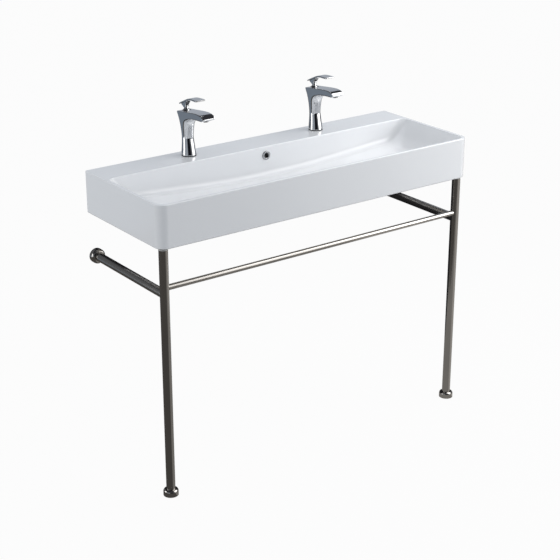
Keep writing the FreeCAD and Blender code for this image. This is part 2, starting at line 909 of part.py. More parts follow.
def build_spigot_insert(label, place):
    """Threaded insert crimped into the leg's wall, along its own +Y."""
    insert = Piece(label, grouped=True, **place)
    sleeve = insert.sketch("XZ", -s.spigot_insert_start)
    circle(sleeve, ZERO, ZERO, s.spigot_insert_radius)
    circle(sleeve, ZERO, ZERO, s.spigot_stud_radius)
    insert.pad(sleeve, s.spigot_insert_end - s.spigot_insert_start, backward=True)
    crimp = insert.sketch("XZ", -s.spigot_insert_start)
    circle(crimp, ZERO, ZERO, s.spigot_crimp_radius)
    circle(crimp, ZERO, ZERO, s.spigot_stud_radius)
    insert.pad(crimp, s.spigot_crimp_end - s.spigot_insert_start, backward=True)
    return insert


def build_grub(label, bore, place):
    """Grub screw from below, through the tube into the spigot."""
    grub = Piece(label, grouped=True, **place)
    outside = bore + s.tube_wall
    face = grub.sketch("XY", -outside + s.slide_gap)
    circle(face, ZERO, s.grub_place, s.grub_radius)
    grub.pad(face, s.grub_length - s.tube_wall)
    return grub


def build_joints():
    arm_spigots, rail_spigots, inserts, grubs = [], [], [], []
    for name, side in SIDES.items():
        arm = {"x": leg_x * side, "y": leg_y, "z": arm_height}
        inwards = FreeCAD.Rotation(ABOUT_Z, 90 * side)
        rail = {"x": leg_x * side, "y": leg_y, "z": rail_height, "turn": inwards}
        arm_spigots.append(build_spigot(f"{name}_arm_spigot", tube_bore, arm))
        rail_spigots.append(build_spigot(f"{name}_rail_spigot", rail_bore, rail))
        inserts.append(build_spigot_insert(f"{name}_arm_insert", arm))
        inserts.append(build_spigot_insert(f"{name}_rail_insert", rail))
        grubs.append(build_grub(f"{name}_arm_grub", tube_bore, arm))
        grubs.append(build_grub(f"{name}_rail_grub", rail_bore, rail))
    group("arm_spigots", arm_spigots)
    group("rail_spigots", rail_spigots)
    group("spigot_inserts", inserts)
    group("stand_grub_screws", grubs)


def build_cover(label, place):
    """Domed cover round a tube, standing on its own XY plane."""
    outer = s.cover_radius
    inner = outer - s.cover_wall
    high = s.cover_height
    low = s.cover_rest_gap
    hole = s.leg_radius + s.slide_gap
    turned(
        label,
        [
            (inner, low),
            (outer, low),
            (outer, high, s.cover_shoulder),
            (hole, high),
            (hole, high - s.cover_wall),
            (inner, high - s.cover_wall, s.cover_shoulder - s.cover_wall),
        ],
        **place,
    )


def build_feet():
    plugs, pads, inserts = [], [], []
    stud_fit = s.foot_stud_radius + s.thread_gap
    bore_fit = tube_bore - s.fit_gap
    top = underside - s.top_pad_thickness
    tube_top = top - s.top_plug_lip
    for name, side in SIDES.items():
        place = {"x": leg_x * side, "y": leg_y}
        build_cover(f"{name}_foot_cover", place)
        turned(
            f"{name}_levelling_foot",
            [
                (ZERO, ZERO),
                (s.foot_disc_radius, ZERO),
                (s.foot_disc_radius, s.foot_disc_height),
                (s.foot_stud_radius, s.foot_disc_height),
                (s.foot_stud_radius, s.foot_stud_top),
                (ZERO, s.foot_stud_top),
            ],
            **place,
        )
        inserts.append(
            turned(
                f"{name}_foot_insert",
                [
                    (stud_fit, s.leg_bottom - s.insert_lip),
                    (s.leg_radius, s.leg_bottom - s.insert_lip),
                    (s.leg_radius, s.leg_bottom),
                    (bore_fit, s.leg_bottom),
                    (bore_fit, s.leg_bottom + s.insert_length),
                    (stud_fit, s.leg_bottom + s.insert_length),
                ],
                grouped=True,
                **place,
            )
        )
        plugs.append(
            turned(
                f"{name}_top_plug",
                [
                    (ZERO, tube_top - s.top_plug_length),
                    (bore_fit, tube_top - s.top_plug_length),
                    (bore_fit, tube_top),
                    (s.leg_radius, tube_top),
                    (s.leg_radius, top),
                    (s.dowel_radius, top),
                    (s.dowel_radius, underside + s.dowel_length),
                    (ZERO, underside + s.dowel_length),
                ],
                grouped=True,
                **place,
            )
        )
        pad = ring(s.dowel_radius + s.fit_gap, s.leg_radius, top, underside)
        pads.append(turned(f"{name}_top_pad", pad, grouped=True, **place))
    group("leg_foot_inserts", inserts)
    group("leg_top_plugs", plugs)
    group("leg_top_pads", pads)


def build_wall_plates():
    for name, side in SIDES.items():
        place = {"x": leg_x * side, "y": half_depth, "z": arm_height, "turn": FROM_WALL}
        build_cover(f"{name}_wall_cover", place)
        boss = tube_bore - s.fit_gap
        plate = turned(
            f"{name}_wall_plate",
            [
                (ZERO, ZERO),
                (s.plate_radius, ZERO),
                (s.plate_radius, s.plate_thickness),
                (boss, s.plate_thickness),
                (boss, s.plate_thickness + s.plate_boss_length),
                (ZERO, s.plate_thickness + s.plate_boss_length),
            ],
            **place,
        )
        holes = plate.sketch("XY")
        circle(holes, ZERO, s.plate_hole_circle, s.plate_hole_radius)
        for way in SIDES.values():
            across = s.plate_hole_circle * root(Size.of(3)) / 2
            circle(holes, across * way, -s.plate_hole_circle / 2, s.plate_hole_radius)
        plate.pocket(holes, s.plate_thickness + s.overrun, forward=True)


def deck_place(side):
    """On the tap's axis, at the deck."""
    return {"x": s.tap_x * side, "y": tap_y, "z": s.rim_height}


def axis_place(side):
    """On the tap's axis, at the height of the lever's pivot."""
    return {"x": s.tap_x * side, "y": tap_y, "z": s.rim_height + s.pivot_height}


def pivot_place(side):
    """At the lever's pivot, behind the tap's axis."""
    return {"x": s.tap_x * side, "y": tap_y + s.pivot_back, "z": s.rim_height + s.pivot_height}


def top_height(reach):
    """Height over the pivot of the tap's sloping top, at a reach in front of its axis."""
    return s.top_back_height + (reach + s.top_back_reach) * tangent(s.top_slope)


def build_tap_body(name, side):
    tap = Piece(f"{name}_tap_body", **axis_place(side))
    base = s.tap_base_radius
    waist = s.waist_half_width
    set_back = s.waist_set_back
    deck = -s.pivot_height
    stations = [
        (deck + s.gasket_thickness, base, -base, base, s.tap_base_corner),
        (deck + s.waist_height, waist, set_back - waist, set_back + waist, s.waist_corner),
        (s.shoulder_height, s.shoulder_half_width, -s.shoulder_front, s.shoulder_back, s.shoulder_corner),
        (s.crown_height, s.crown_half_width, -s.crown_front, s.crown_back, s.crown_corner),
    ]
    sections = []
    for height, half, front, back, corner in stations:
        section = tap.sketch("XY", height)
        box(section, -half, half, front, back, corner)
        sections.append(section)
    tap.loft(sections)

    over = s.crown_height + s.overrun
    far_back = s.crown_back + s.overrun
    far_front = s.crown_front + s.overrun
    above = tap.sketch("YZ")
    outline(
        above,
        [
            (far_back, top_height(-far_back)),
            (far_back, over),
            (-far_front, over),
            (-far_front, top_height(far_front)),
        ],
    )
    tap.pocket(above, s.crown_half_width * 2 + s.overrun, both=True)

    spout = tap.sketch("YZ")
    outline(
        spout,
        [
            (s.spout_root_reach, s.spout_root_height),
            (-s.spout_neck_reach, s.spout_neck_height),
            (-s.spout_arch_reach, s.spout_arch_height, s.spout_arch_round),
            (-s.spout_lip_reach, s.spout_lip_height),
            (-s.spout_nose_reach, s.spout_nose_height),
            (-s.spout_tip_reach, s.spout_tip_height),
            (-s.spout_crest_reach, top_height(s.spout_crest_reach), s.spout_crest_round),
            (s.spout_root_reach, top_height(-s.spout_root_reach)),
        ],
    )
    tap.pad(spout, s.spout_half_width * 2, both=True)

    def under_spout(edge):
        half = s.spout_half_width
        on_side = lies_at(edge, "X", half) or lies_at(edge, "X", -half)
        in_front = edge.BoundBox.YMax < -float(s.spout_neck_reach) / 2
        below_lip = edge.BoundBox.ZMax < float(s.spout_lip_height) + TOLERANCE
        return on_side and in_front and below_lip

    tap.round_edges(s.spout_edge_round, under_spout)

    cavity = tap.sketch("XY", s.cavity_floor)
    circle(cavity, ZERO, s.pivot_back, s.cavity_radius)
    tap.pocket(cavity, s.crown_height - s.cavity_floor, forward=True)
    aerator = tap.sketch("XY", s.aerator_bottom - s.overrun)
    circle(aerator, ZERO, -s.aerator_reach, s.aerator_radius + s.thread_gap)
    tap.pocket(aerator, s.aerator_top - s.aerator_bottom + s.overrun, forward=True)

    inlets = tap.sketch("XY", deck)
    channels = tap.sketch("XY", deck)
    for way in SIDES.values():
        circle(inlets, s.inlet_x * way, s.inlet_y, s.inlet_radius)
        circle(channels, s.port_x * way, s.pivot_back, s.channel_radius)
    tap.pocket(inlets, s.gasket_thickness + s.inlet_depth, forward=True)
    tap.pocket(channels, s.cavity_floor - deck + s.overrun, forward=True)
    stud = tap.sketch("XY", deck)
    circle(stud, ZERO, -s.stud_front, s.stud_radius + s.thread_gap)
    tap.pocket(stud, s.gasket_thickness + s.stud_depth_in_body, forward=True)

    port_y = s.pivot_back - s.outlet_port_front
    start = s.cavity_floor + s.overrun
    mouth = tap.sketch("XY", start)
    circle(mouth, ZERO, port_y, s.outlet_radius)
    way_out = tap.sketch("YZ")
    outline(
        way_out,
        [
            (port_y, start),
            (port_y, s.outlet_turn_height, s.outlet_turn_radius),
            (-s.outlet_riser_reach, s.outlet_turn_height, s.outlet_turn_radius),
            (-s.outlet_riser_reach, s.outlet_bend_height, s.outlet_turn_radius),
            (-s.aerator_reach, s.outlet_end_height),
        ],
        closed=False,
    )
    tap.bore_along(mouth, way_out)


def cut_ports(piece, low, depth):
    """Two inlet ports and one outlet port up through a cartridge piece."""
    ports = piece.sketch("XY", low)
    for way in SIDES.values():
        circle(ports, s.port_x * way, ZERO, s.channel_radius)
    circle(ports, ZERO, -s.outlet_port_front, s.channel_radius)
    piece.pocket(ports, depth, forward=True)


def build_cartridge(name, side):
    """Cartridge housing and fixed disc, seated in the tap's cavity."""
    low = s.cavity_floor
    floor = low + s.housing_floor
    housing = turned(
        f"{name}_cartridge_housing",
        [
            (ZERO, low),
            (s.housing_radius, low),
            (s.housing_radius, s.housing_top_height),
            (s.housing_mouth, s.housing_top_height),
            (s.housing_mouth, s.housing_ledge_height),
            (s.housing_bore, s.housing_ledge_height),
            (s.housing_bore, floor),
            (ZERO, floor),
        ],
        **pivot_place(side),
    )
    cut_ports(housing, low, s.housing_floor)
    disc = Piece(f"{name}_fixed_disc", grouped=True, **pivot_place(side))
    face = disc.sketch("XY", floor)
    circle(face, ZERO, ZERO, s.housing_bore - s.fit_gap)
    disc.pad(face, s.fixed_disc_thickness)
    cut_ports(disc, floor, s.fixed_disc_thickness)
    return disc


def build_cartridge_nut(name, side):
    low = s.housing_top_height
    profile = ring(s.nut_bore, s.cavity_radius - s.thread_gap, low, low + s.nut_height)
    return turned(f"{name}_cartridge_nut", profile, grouped=True, **pivot_place(side))


def build_moving_disc(name, side):
    place = pivot_place(side)
    place["y"] = place["y"] + s.arm_length * sine(s.arm_lean)
    low = s.moving_disc_bottom
    high = low + s.moving_disc_thickness
    recess = low + s.mixing_recess_depth
    turned(
        f"{name}_moving_disc",
        [
            (ZERO, recess),
            (s.mixing_recess_radius, recess),
            (s.mixing_recess_radius, low),
            (s.moving_disc_radius, low),
            (s.moving_disc_radius, high),
            (s.socket_radius, high),
            (s.socket_radius, s.socket_top),
            (s.socket_bore, s.socket_top),
            (s.socket_bore, high),
            (ZERO, high),
        ],
        **place,
    )


def build_swivel(name, side):
    """Turning guide sleeve, its dome and the pin that the spindle tilts on."""
    place = pivot_place(side)
    sleeve = turned(
        f"{name}_guide_sleeve",
        [
            (ZERO, s.sleeve_bottom),
            (s.sleeve_flange_radius, s.sleeve_bottom),
            (s.sleeve_flange_radius, s.sleeve_flange_top),
            (s.sleeve_radius, s.sleeve_flange_top),
            (s.sleeve_radius, s.sleeve_shoulder),
            (s.sleeve_spigot_radius, s.sleeve_shoulder),
            (s.sleeve_spigot_radius, s.sleeve_top),
            (ZERO, s.sleeve_top),
        ],
        **place,
    )
    slot = sleeve.sketch("XY", s.sleeve_bottom)
    wide = s.stem_slot_half_width
    long = s.sleeve_slot_half_length
    box(slot, -wide, wide, -long, long)
    sleeve.pocket(slot, s.sleeve_top - s.sleeve_bottom + s.overrun, forward=True)
    hole = sleeve.sketch("YZ")
    circle(hole, ZERO, ZERO, s.pin_radius + s.thread_gap)
    sleeve.pocket(hole, s.sleeve_radius * 2 + s.overrun, both=True)

    outer = s.dome_radius
    inner = outer - s.dome_shell
    flat = s.dome_pole_flat
    dome = turned(
        f"{name}_dome",
        [
            (inner, s.sleeve_shoulder),
            (outer, s.sleeve_shoulder),
            (outer, outer, outer - flat),
            (ZERO, outer),
            (ZERO, inner),
            (inner, inner, inner - flat),
        ],
        **place,
    )
    opening = dome.sketch("XY", s.sleeve_top)
    box(opening, -wide, wide, -s.dome_slot_front, s.dome_slot_back)
    dome.pocket(opening, outer, forward=True)

    pin = Piece(f"{name}_pivot_pin", **place)
    end = pin.sketch("YZ")
    circle(end, ZERO, ZERO, s.pin_radius)
    pin.pad(end, s.pin_half_length * 2, both=True)


def build_spindle(name, side):
    spindle = Piece(f"{name}_spindle", **pivot_place(side))
    half = s.stem_half_width
    stem = spindle.sketch("XY", s.stem_bottom)
    box(stem, -half, half, -half, half)
    spindle.pad(stem, s.stem_top - s.stem_bottom)

    along_y = sine(s.arm_lean)
    along_z = -cosine(s.arm_lean)
    thick = s.arm_half_width
    end_y = s.arm_length * along_y
    end_z = s.arm_length * along_z
    bar = spindle.sketch("YZ")
    outline(
        bar,
        [
            (-thick * along_z, thick * along_y),
            (end_y - thick * along_z, end_z + thick * along_y),
            (end_y + thick * along_z, end_z - thick * along_y),
            (thick * along_z, -thick * along_y),
        ],
    )
    spindle.pad(bar, thick * 2, both=True)
    end = spindle.sketch("YZ")
    circle(end, end_y, end_z, s.arm_end_radius)
    spindle.pad(end, thick * 2, both=True)
    hole = spindle.sketch("YZ")
    circle(hole, ZERO, ZERO, s.pin_radius + s.thread_gap)
    spindle.pocket(hole, half * 2 + s.overrun, both=True)


def build_lever(name, side):
    lever = Piece(f"{name}_tap_lever", **pivot_place(side))
    gap = s.neck_gap_radius
    base = s.neck_base_radius
    base_height = root(gap * gap - base * base)
    neck = lever.sketch("XZ")
    outline(
        neck,
        [
            (ZERO, base_height),
            (base, base_height),
            (s.neck_mid_radius, s.neck_mid_height),
            (s.neck_top_radius, s.neck_top_height),
            (s.neck_top_radius, s.neck_crown_height),
            (ZERO, s.neck_crown_height),
        ],
    )
    lever.turn(neck)

    def spot(reach, height):
        return (-reach - s.pivot_back, height)

    def across(way, half, reach):
        return (half * way, -reach - s.pivot_back)

    blade = lever.sketch("YZ")
    bend = (s.blade_bend_radius,)
    outline(
        blade,
        [
            spot(s.blade_rear_reach, s.blade_rear_low),
            spot(s.blade_mid_low_reach, s.blade_mid_low) + bend,
            spot(s.blade_front_low_reach, s.blade_front_low),
            spot(s.blade_front_reach, s.blade_front_high),
            spot(s.blade_mid_high_reach, s.blade_mid_high) + bend,
            spot(s.blade_rear_reach, s.blade_rear_high),
        ],
    )
    lever.pad(blade, s.blade_front_half_width * 2, both=True)

    flanks = lever.sketch("XY")
    beyond = s.blade_front_half_width + s.overrun
    for way in SIDES.values():
        outline(
            flanks,
            [
                across(way, s.blade_front_half_width, s.blade_flare_end),
                across(way, s.blade_neck_half_width, s.blade_flare_start),
                across(way, s.blade_neck_half_width, -s.blade_narrowing),
                across(way, s.blade_rear_half_width, s.blade_rear_reach),
                across(way, s.blade_rear_half_width, s.blade_rear_reach - s.overrun),
                across(way, beyond, s.blade_rear_reach - s.overrun),
                across(way, beyond, s.blade_flare_end),
            ],
        )
    lever.pocket(flanks, s.blade_front_high + s.overrun, forward=True)

    def front_corner(edge):
        half = s.blade_front_half_width
        on_side = lies_at(edge, "X", half) or lies_at(edge, "X", -half)
        return on_side and edge.BoundBox.YMax < -float(s.blade_front_low_reach + s.pivot_back) + TOLERANCE

    lever.round_edges(s.blade_corner_round, front_corner)

    web = lever.sketch("YZ")
    outline(
        web,
        [
            spot(s.web_rear_reach, s.web_rear_height),
            spot(s.web_heel_reach, s.web_heel_height),
            spot(s.web_toe_reach, s.web_toe_height),
            spot(s.web_front_reach, s.web_front_height),
            spot(s.web_end_reach, s.web_end_height),
        ],
    )
    lever.pad(web, s.web_half_width * 2, both=True)

    hollow = lever.sketch("XZ")
    flat = s.dome_pole_flat
    outline(
        hollow,
        [
            (ZERO, ZERO),
            (gap, ZERO),
            (gap, gap, gap - flat),
            (ZERO, gap),
        ],
    )
    lever.turn(hollow, cut=True)
    socket = lever.sketch("XY")
    fit = s.stem_half_width + s.fit_gap
    box(socket, -fit, fit, -fit, fit)
    lever.pocket(socket, s.stem_top + s.fit_gap, forward=True)
    screw_hole = lever.sketch("XZ")
    circle(screw_hole, ZERO, s.lever_grub_height, s.lever_grub_radius + s.thread_gap)
    lever.pocket(screw_hole, s.neck_top_radius, forward=True)
    seat_depth = s.neck_mid_radius - s.index_depth
    seat = lever.sketch("XZ", seat_depth)
    circle(seat, ZERO, s.lever_grub_height, s.index_radius + s.thread_gap)
    lever.pocket(seat, s.neck_top_radius, forward=True)

    cap = Piece(f"{name}_index_cap", **pivot_place(side))
    face = cap.sketch("XZ", seat_depth)
    circle(face, ZERO, s.lever_grub_height, s.index_radius)
    cap.pad(face, s.index_depth + s.index_proud)
    screw = Piece(f"{name}_lever_screw", **pivot_place(side))
    face = screw.sketch("XZ", s.stem_half_width)
    circle(face, ZERO, s.lever_grub_height, s.lever_grub_radius)
    screw.pad(face, s.lever_grub_length)


def build_aerator(name, side):
    """Aerator housing and insert under the spout's tip."""
    place = axis_place(side)
    place["y"] = place["y"] - s.aerator_reach
    low = s.aerator_bottom
    high = s.aerator_top - s.fit_gap
    housing = ring(s.aerator_bore, s.aerator_radius, low, high)
    insert_low = low + s.aerator_insert_inset
    insert_radius = s.aerator_bore - s.fit_gap
    insert = ring(ZERO, insert_radius, insert_low, insert_low + s.aerator_insert_height)
    return (
        turned(f"{name}_aerator_housing", housing, grouped=True, **place),
        turned(f"{name}_aerator_insert", insert, grouped=True, **place),
    )


def build_clamp(label, side, high, thickness):
    """Horseshoe round the inlets, clamped up under the deck by the stud."""
    clamp = Piece(label, grouped=True, **deck_place(side))
    face = clamp.sketch("XY", high - thickness)
    circle(face, ZERO, ZERO, s.clamp_radius)
    clamp.pad(face, thickness)
    slot = clamp.sketch("XY", high - thickness)
    half = s.clamp_slot_half_width
    box(slot, -half, half, -s.clamp_slot_front, s.clamp_radius + s.overrun)
    clamp.pocket(slot, thickness + s.overrun, forward=True)
    hole = clamp.sketch("XY", high - thickness)
    circle(hole, ZERO, -s.stud_front, s.stud_radius + s.fit_gap)
    clamp.pocket(hole, thickness + s.overrun, forward=True)
    return clamp


def build_fixings(name, side):
    """Gasket above the deck; stud, washer, plate and nut below it."""
    place = deck_place(side)
    gasket = ring(s.gasket_bore, s.gasket_radius, ZERO, s.gasket_thickness)
    stud_place = dict(place)
    stud_place["y"] = place["y"] - s.stud_front
    stud_high = s.gasket_thickness + s.stud_depth_in_body - s.fit_gap
    stud = ring(ZERO, s.stud_radius, -s.stud_drop, stud_high)
    washer_high = -s.deck_thickness
    plate_high = washer_high - s.clamp_washer_thickness
    nut_high = plate_high - s.clamp_plate_thickness
    nut = Piece(f"{name}_fixing_nut", grouped=True, **stud_place)
    face = nut.sketch("XY", nut_high - s.fixing_nut_height)
    hexagon(face, ZERO, ZERO, s.fixing_nut_flats)
    circle(face, ZERO, ZERO, s.stud_radius + s.thread_gap)
    nut.pad(face, s.fixing_nut_height)
    return (
        turned(f"{name}_base_gasket", gasket, grouped=True, **place),
        turned(f"{name}_fixing_stud", stud, grouped=True, **stud_place),
        build_clamp(f"{name}_clamp_washer", side, washer_high, s.clamp_washer_thickness),
        build_clamp(f"{name}_clamp_plate", side, plate_high, s.clamp_plate_thickness),
        nut,
    )


def build_taps():
    shared = []
    for name, side in SIDES.items():
        build_tap_body(name, side)
        disc = build_cartridge(name, side)
        nut = build_cartridge_nut(name, side)
        build_moving_disc(name, side)
        build_swivel(name, side)
        build_spindle(name, side)
        build_lever(name, side)
        shared.append((disc, nut) + build_aerator(name, side) + build_fixings(name, side))
    labels = (
        "tap_fixed_discs",
        "tap_cartridge_nuts",
        "tap_aerator_housings",
        "tap_aerator_inserts",
        "tap_base_gaskets",
        "tap_fixing_studs",
        "tap_clamp_washers",
        "tap_clamp_plates",
        "tap_fixing_nuts",
    )
    for label, pair in zip(labels, zip(*shared)):
        group(label, pair)


build_basin()
build_overflow_ring()
build_waste()
build_legs()
build_arms()
build_rail()
build_joints()
build_feet()
build_wall_plates()
build_taps()

doc.recompute()
for item in doc.Objects:
    if "Invalid" in item.State or "Error" in item.State:
        raise ValueError(f"{item.Name} did not build: {item.State}")
os.makedirs("parts", exist_ok=True)
for node in NODES:
    shape = node.Shape
    if shape.isNull() or not shape.isValid():
        raise ValueError(f"{node.Label} has no valid shape")
    shape.exportStep(f"parts/{node.Label}.step")
    print(node.Label, len(shape.Solids), round(shape.Volume / 1000, 2))
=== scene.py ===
import json
import math

import bmesh
import bpy
from mathutils import Matrix, Vector

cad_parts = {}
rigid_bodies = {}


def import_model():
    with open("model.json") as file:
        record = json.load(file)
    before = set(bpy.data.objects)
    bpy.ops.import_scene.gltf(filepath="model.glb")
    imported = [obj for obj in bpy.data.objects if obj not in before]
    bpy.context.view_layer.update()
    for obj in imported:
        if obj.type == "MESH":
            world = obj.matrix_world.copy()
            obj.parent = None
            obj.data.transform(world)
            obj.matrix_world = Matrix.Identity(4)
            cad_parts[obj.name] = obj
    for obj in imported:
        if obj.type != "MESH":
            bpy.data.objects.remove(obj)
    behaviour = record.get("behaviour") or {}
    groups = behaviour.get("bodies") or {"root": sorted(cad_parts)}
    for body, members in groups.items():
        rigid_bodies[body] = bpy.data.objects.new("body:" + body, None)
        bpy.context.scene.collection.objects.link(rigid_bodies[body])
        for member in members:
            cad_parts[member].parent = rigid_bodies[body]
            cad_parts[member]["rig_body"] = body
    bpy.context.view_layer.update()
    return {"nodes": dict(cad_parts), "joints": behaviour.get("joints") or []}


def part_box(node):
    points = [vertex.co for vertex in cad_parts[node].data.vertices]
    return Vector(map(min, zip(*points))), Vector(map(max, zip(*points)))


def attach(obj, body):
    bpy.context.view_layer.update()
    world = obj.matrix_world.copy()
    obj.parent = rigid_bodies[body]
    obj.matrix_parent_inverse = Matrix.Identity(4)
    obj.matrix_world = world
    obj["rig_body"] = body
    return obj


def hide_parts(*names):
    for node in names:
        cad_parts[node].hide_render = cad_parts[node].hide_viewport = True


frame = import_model()

bl_info = {
    "name": "Console basin on a bracket stand",
    "version": (1, 0, 0),
    "blender": (4, 5, 0),
    "location": "View3D > Sidebar > Basin",
    "description": "Dresses the console basin, its lever mixers and its polished stand",
    "category": "Object",
}

SIDES = ("left", "right")
NODES = frame["nodes"]
MM = 0.001

# Welding of CAD meshes, and the angles past which an edge stays sharp
WELD = 0.002 * MM
SLIVER = 0.001 * MM
SHARP_EDGE = math.radians(40)
SHARP_CAD_EDGE = math.radians(28)
SHARP_ROUNDED_EDGE = math.radians(50)
ROUND_SEGMENTS = 64


# Sizes and colours that a user would change

class FinishColours(bpy.types.PropertyGroup):
    glaze: bpy.props.FloatVectorProperty(
        name="Glaze", description="White of the glazed ceramic", subtype="COLOR",
        default=(0.92, 0.925, 0.932))
    bisque: bpy.props.FloatVectorProperty(
        name="Bisque", description="Unglazed ceramic at the back and underneath", subtype="COLOR",
        default=(0.74, 0.70, 0.64))
    chrome: bpy.props.FloatVectorProperty(
        name="Chrome", description="Bright plate on the taps and the waste", subtype="COLOR",
        default=(0.72, 0.725, 0.735))
    # The overflow ring's chrome is darker than the other chrome: painted shade that stands in for the dark
    # reflections it shows
    ring_plate: bpy.props.FloatVectorProperty(
        name="Ring painted shade", description="Chrome of the overflow ring, darkened as painted shade", subtype="COLOR",
        default=(0.46, 0.465, 0.475))
    stainless: bpy.props.FloatVectorProperty(
        name="Stainless", description="Polished tube of the stand", subtype="COLOR",
        default=(0.56, 0.54, 0.515))
    turned_steel: bpy.props.FloatVectorProperty(
        name="Turned steel", description="Screws, spigots and plates", subtype="COLOR",
        default=(0.46, 0.46, 0.46))
    brass: bpy.props.FloatVectorProperty(
        name="Brass", description="Plain nuts and waste tail", subtype="COLOR",
        default=(0.62, 0.44, 0.18))
    rubber: bpy.props.FloatVectorProperty(
        name="Rubber", description="Seals, gaskets and pads", subtype="COLOR",
        default=(0.035, 0.035, 0.037))
    acetal: bpy.props.FloatVectorProperty(
        name="Acetal", description="Moulded plugs, inserts and cartridge", subtype="COLOR",
        default=(0.62, 0.62, 0.60))
    alumina: bpy.props.FloatVectorProperty(
        name="Alumina", description="Lapped valve discs", subtype="COLOR",
        default=(0.78, 0.75, 0.69))
    floor: bpy.props.FloatVectorProperty(
        name="Floor", description="Studio floor as the basin is lit by it", subtype="COLOR",
        default=(0.45, 0.45, 0.45))


class TapSizes(bpy.types.PropertyGroup):
    well_radius: bpy.props.FloatProperty(
        name="Well radius", description="Round well in the top that the dome turns in", unit="LENGTH",
        default=0.0132)
    rounding_levels: bpy.props.IntProperty(
        name="Rounding levels", description="Subdivision of the tap bodies and levers",
        default=3, min=1, max=4)


class StudioSettings(bpy.types.PropertyGroup):
    azimuth: bpy.props.FloatProperty(
        name="Azimuth", description="Camera direction round the basin", subtype="ANGLE",
        default=math.radians(-36.34))
    elevation: bpy.props.FloatProperty(
        name="Elevation", description="Camera height angle", subtype="ANGLE",
        default=math.radians(21.78))
    distance: bpy.props.FloatProperty(
        name="Distance", description="Camera to the middle of the rim", unit="LENGTH",
        default=4.01953)
    slide: bpy.props.FloatProperty(
        name="Slide", description="Camera moved to its right", unit="LENGTH", default=-0.01134)
    drop: bpy.props.FloatProperty(
        name="Drop", description="Camera moved down its own frame", unit="LENGTH", default=0.36289)
    lens: bpy.props.FloatProperty(
        name="Lens", description="Focal length in millimetres", unit="CAMERA", default=90.24)
    key: bpy.props.FloatProperty(
        name="Key", description="Low softbox at the right end, in watts", default=6.6)
    top: bpy.props.FloatProperty(
        name="Top", description="High softbox over the right front, in watts", default=10.6)
    fill: bpy.props.FloatProperty(
        name="Fill", description="Large softbox off the left end, in watts", default=10.0)
    sky: bpy.props.FloatVectorProperty(
        name="Sky", description="Even light from all round", subtype="COLOR",
        default=(0.595, 0.622, 0.66))
    wall: bpy.props.FloatVectorProperty(
        name="Wall", description="Studio wall as polished metal shows it", subtype="COLOR",
        default=(0.13, 0.135, 0.145))
    sheet: bpy.props.FloatVectorProperty(
        name="Sheet", description="Pale sheet behind the right end as polished metal shows it",
        subtype="COLOR", default=(0.42, 0.45, 0.50))
    near_runner: bpy.props.FloatVectorProperty(
        name="Near runner", description="Grey runner from the left leg as polished metal shows it",
        subtype="COLOR", default=(0.27, 0.262, 0.25))
    far_runner: bpy.props.FloatVectorProperty(
        name="Far runner", description="Pale runner from the right leg as polished metal shows it",
        subtype="COLOR", default=(0.46, 0.445, 0.425))
    ceiling: bpy.props.FloatVectorProperty(
        name="Ceiling", description="Studio ceiling as polished metal shows it", subtype="COLOR",
        default=(0.04, 0.04, 0.045))
    backing: bpy.props.FloatVectorProperty(
        name="Backing", description="Grey paper on the floor behind the basin as polished metal shows it",
        subtype="COLOR", default=(0.20, 0.235, 0.28))
    flag: bpy.props.FloatVectorProperty(
        name="Flag", description="Black flag behind the camera as polished metal shows it",
        subtype="COLOR", default=(0.008, 0.009, 0.012))
    screen: bpy.props.FloatVectorProperty(
        name="Screen", description="Grey screen left of the camera as polished metal shows it",
        subtype="COLOR", default=(0.34, 0.37, 0.41))
    board: bpy.props.FloatVectorProperty(
        name="Board", description="White board before the right end as polished metal shows it",
        subtype="COLOR", default=(1.7, 1.68, 1.65))
    drape: bpy.props.FloatVectorProperty(
        name="Drape", description="Dark drape behind the stand as polished metal shows it",
        subtype="COLOR", default=(0.02, 0.02, 0.022))
    cloth: bpy.props.FloatVectorProperty(
        name="Cloth", description="Dark cloth on the floor as polished metal shows it",
        subtype="COLOR", default=(0.09, 0.085, 0.08))


def colours():
    return bpy.context.scene.basin_colours


def tap_sizes():
    return bpy.context.scene.tap_sizes


def studio():
    return bpy.context.scene.basin_studio


# Node groups shared by the finishes

# The Mix node's colour sockets share their names with its other kinds, so they go by number.
FIRST_COLOUR, SECOND_COLOUR, MIXED_COLOUR = 6, 7, 2
SMEAR_FINENESS = 14.0


def new_group(name, inputs, outputs):
    group = bpy.data.node_groups.new(name, "ShaderNodeTree")
    for label, kind, default in inputs:
        socket = group.interface.new_socket(label, in_out="INPUT", socket_type=kind)
        socket.default_value = default
    for label, kind in outputs:
        group.interface.new_socket(label, in_out="OUTPUT", socket_type=kind)
    return group


def add(tree, kind, **values):
    node = tree.nodes.new(kind)
    for key, value in values.items():
        setattr(node, key, value)
    return node


def math_node(tree, operation, a, b=0.0, clamp=False):
    node = add(tree, "ShaderNodeMath", operation=operation, use_clamp=clamp)
    for socket, value in zip(node.inputs, (a, b)):
        if isinstance(value, (int, float)):
            socket.default_value = value
        else:
            tree.links.new(value, socket)
    return node.outputs[0]


def mix_colour(tree, factor, first, second):
    node = add(tree, "ShaderNodeMix", data_type="RGBA")
    sockets = (node.inputs["Factor"], node.inputs[FIRST_COLOUR], node.inputs[SECOND_COLOUR])
    for socket, value in zip(sockets, (factor, first, second)):
        if hasattr(value, "is_linked"):
            tree.links.new(value, socket)
        else:
            socket.default_value = value
    return node.outputs[MIXED_COLOUR]


def spread(tree, value, low, high):
    """Maps a value from the range nought to one onto low to high."""
    node = add(tree, "ShaderNodeMapRange")
    tree.links.new(value, node.inputs["Value"])
    node.inputs["To Min"].default_value = low
    node.inputs["To Max"].default_value = high
    return node.outputs["Result"]


def noise(tree, vector, scale, detail=3.0):
    node = add(tree, "ShaderNodeTexNoise")
    tree.links.new(vector, node.inputs["Vector"])
    if hasattr(scale, "is_linked"):
        tree.links.new(scale, node.inputs["Scale"])
    else:
        node.inputs["Scale"].default_value = scale
    node.inputs["Detail"].default_value = detail
    return node.outputs["Fac"]


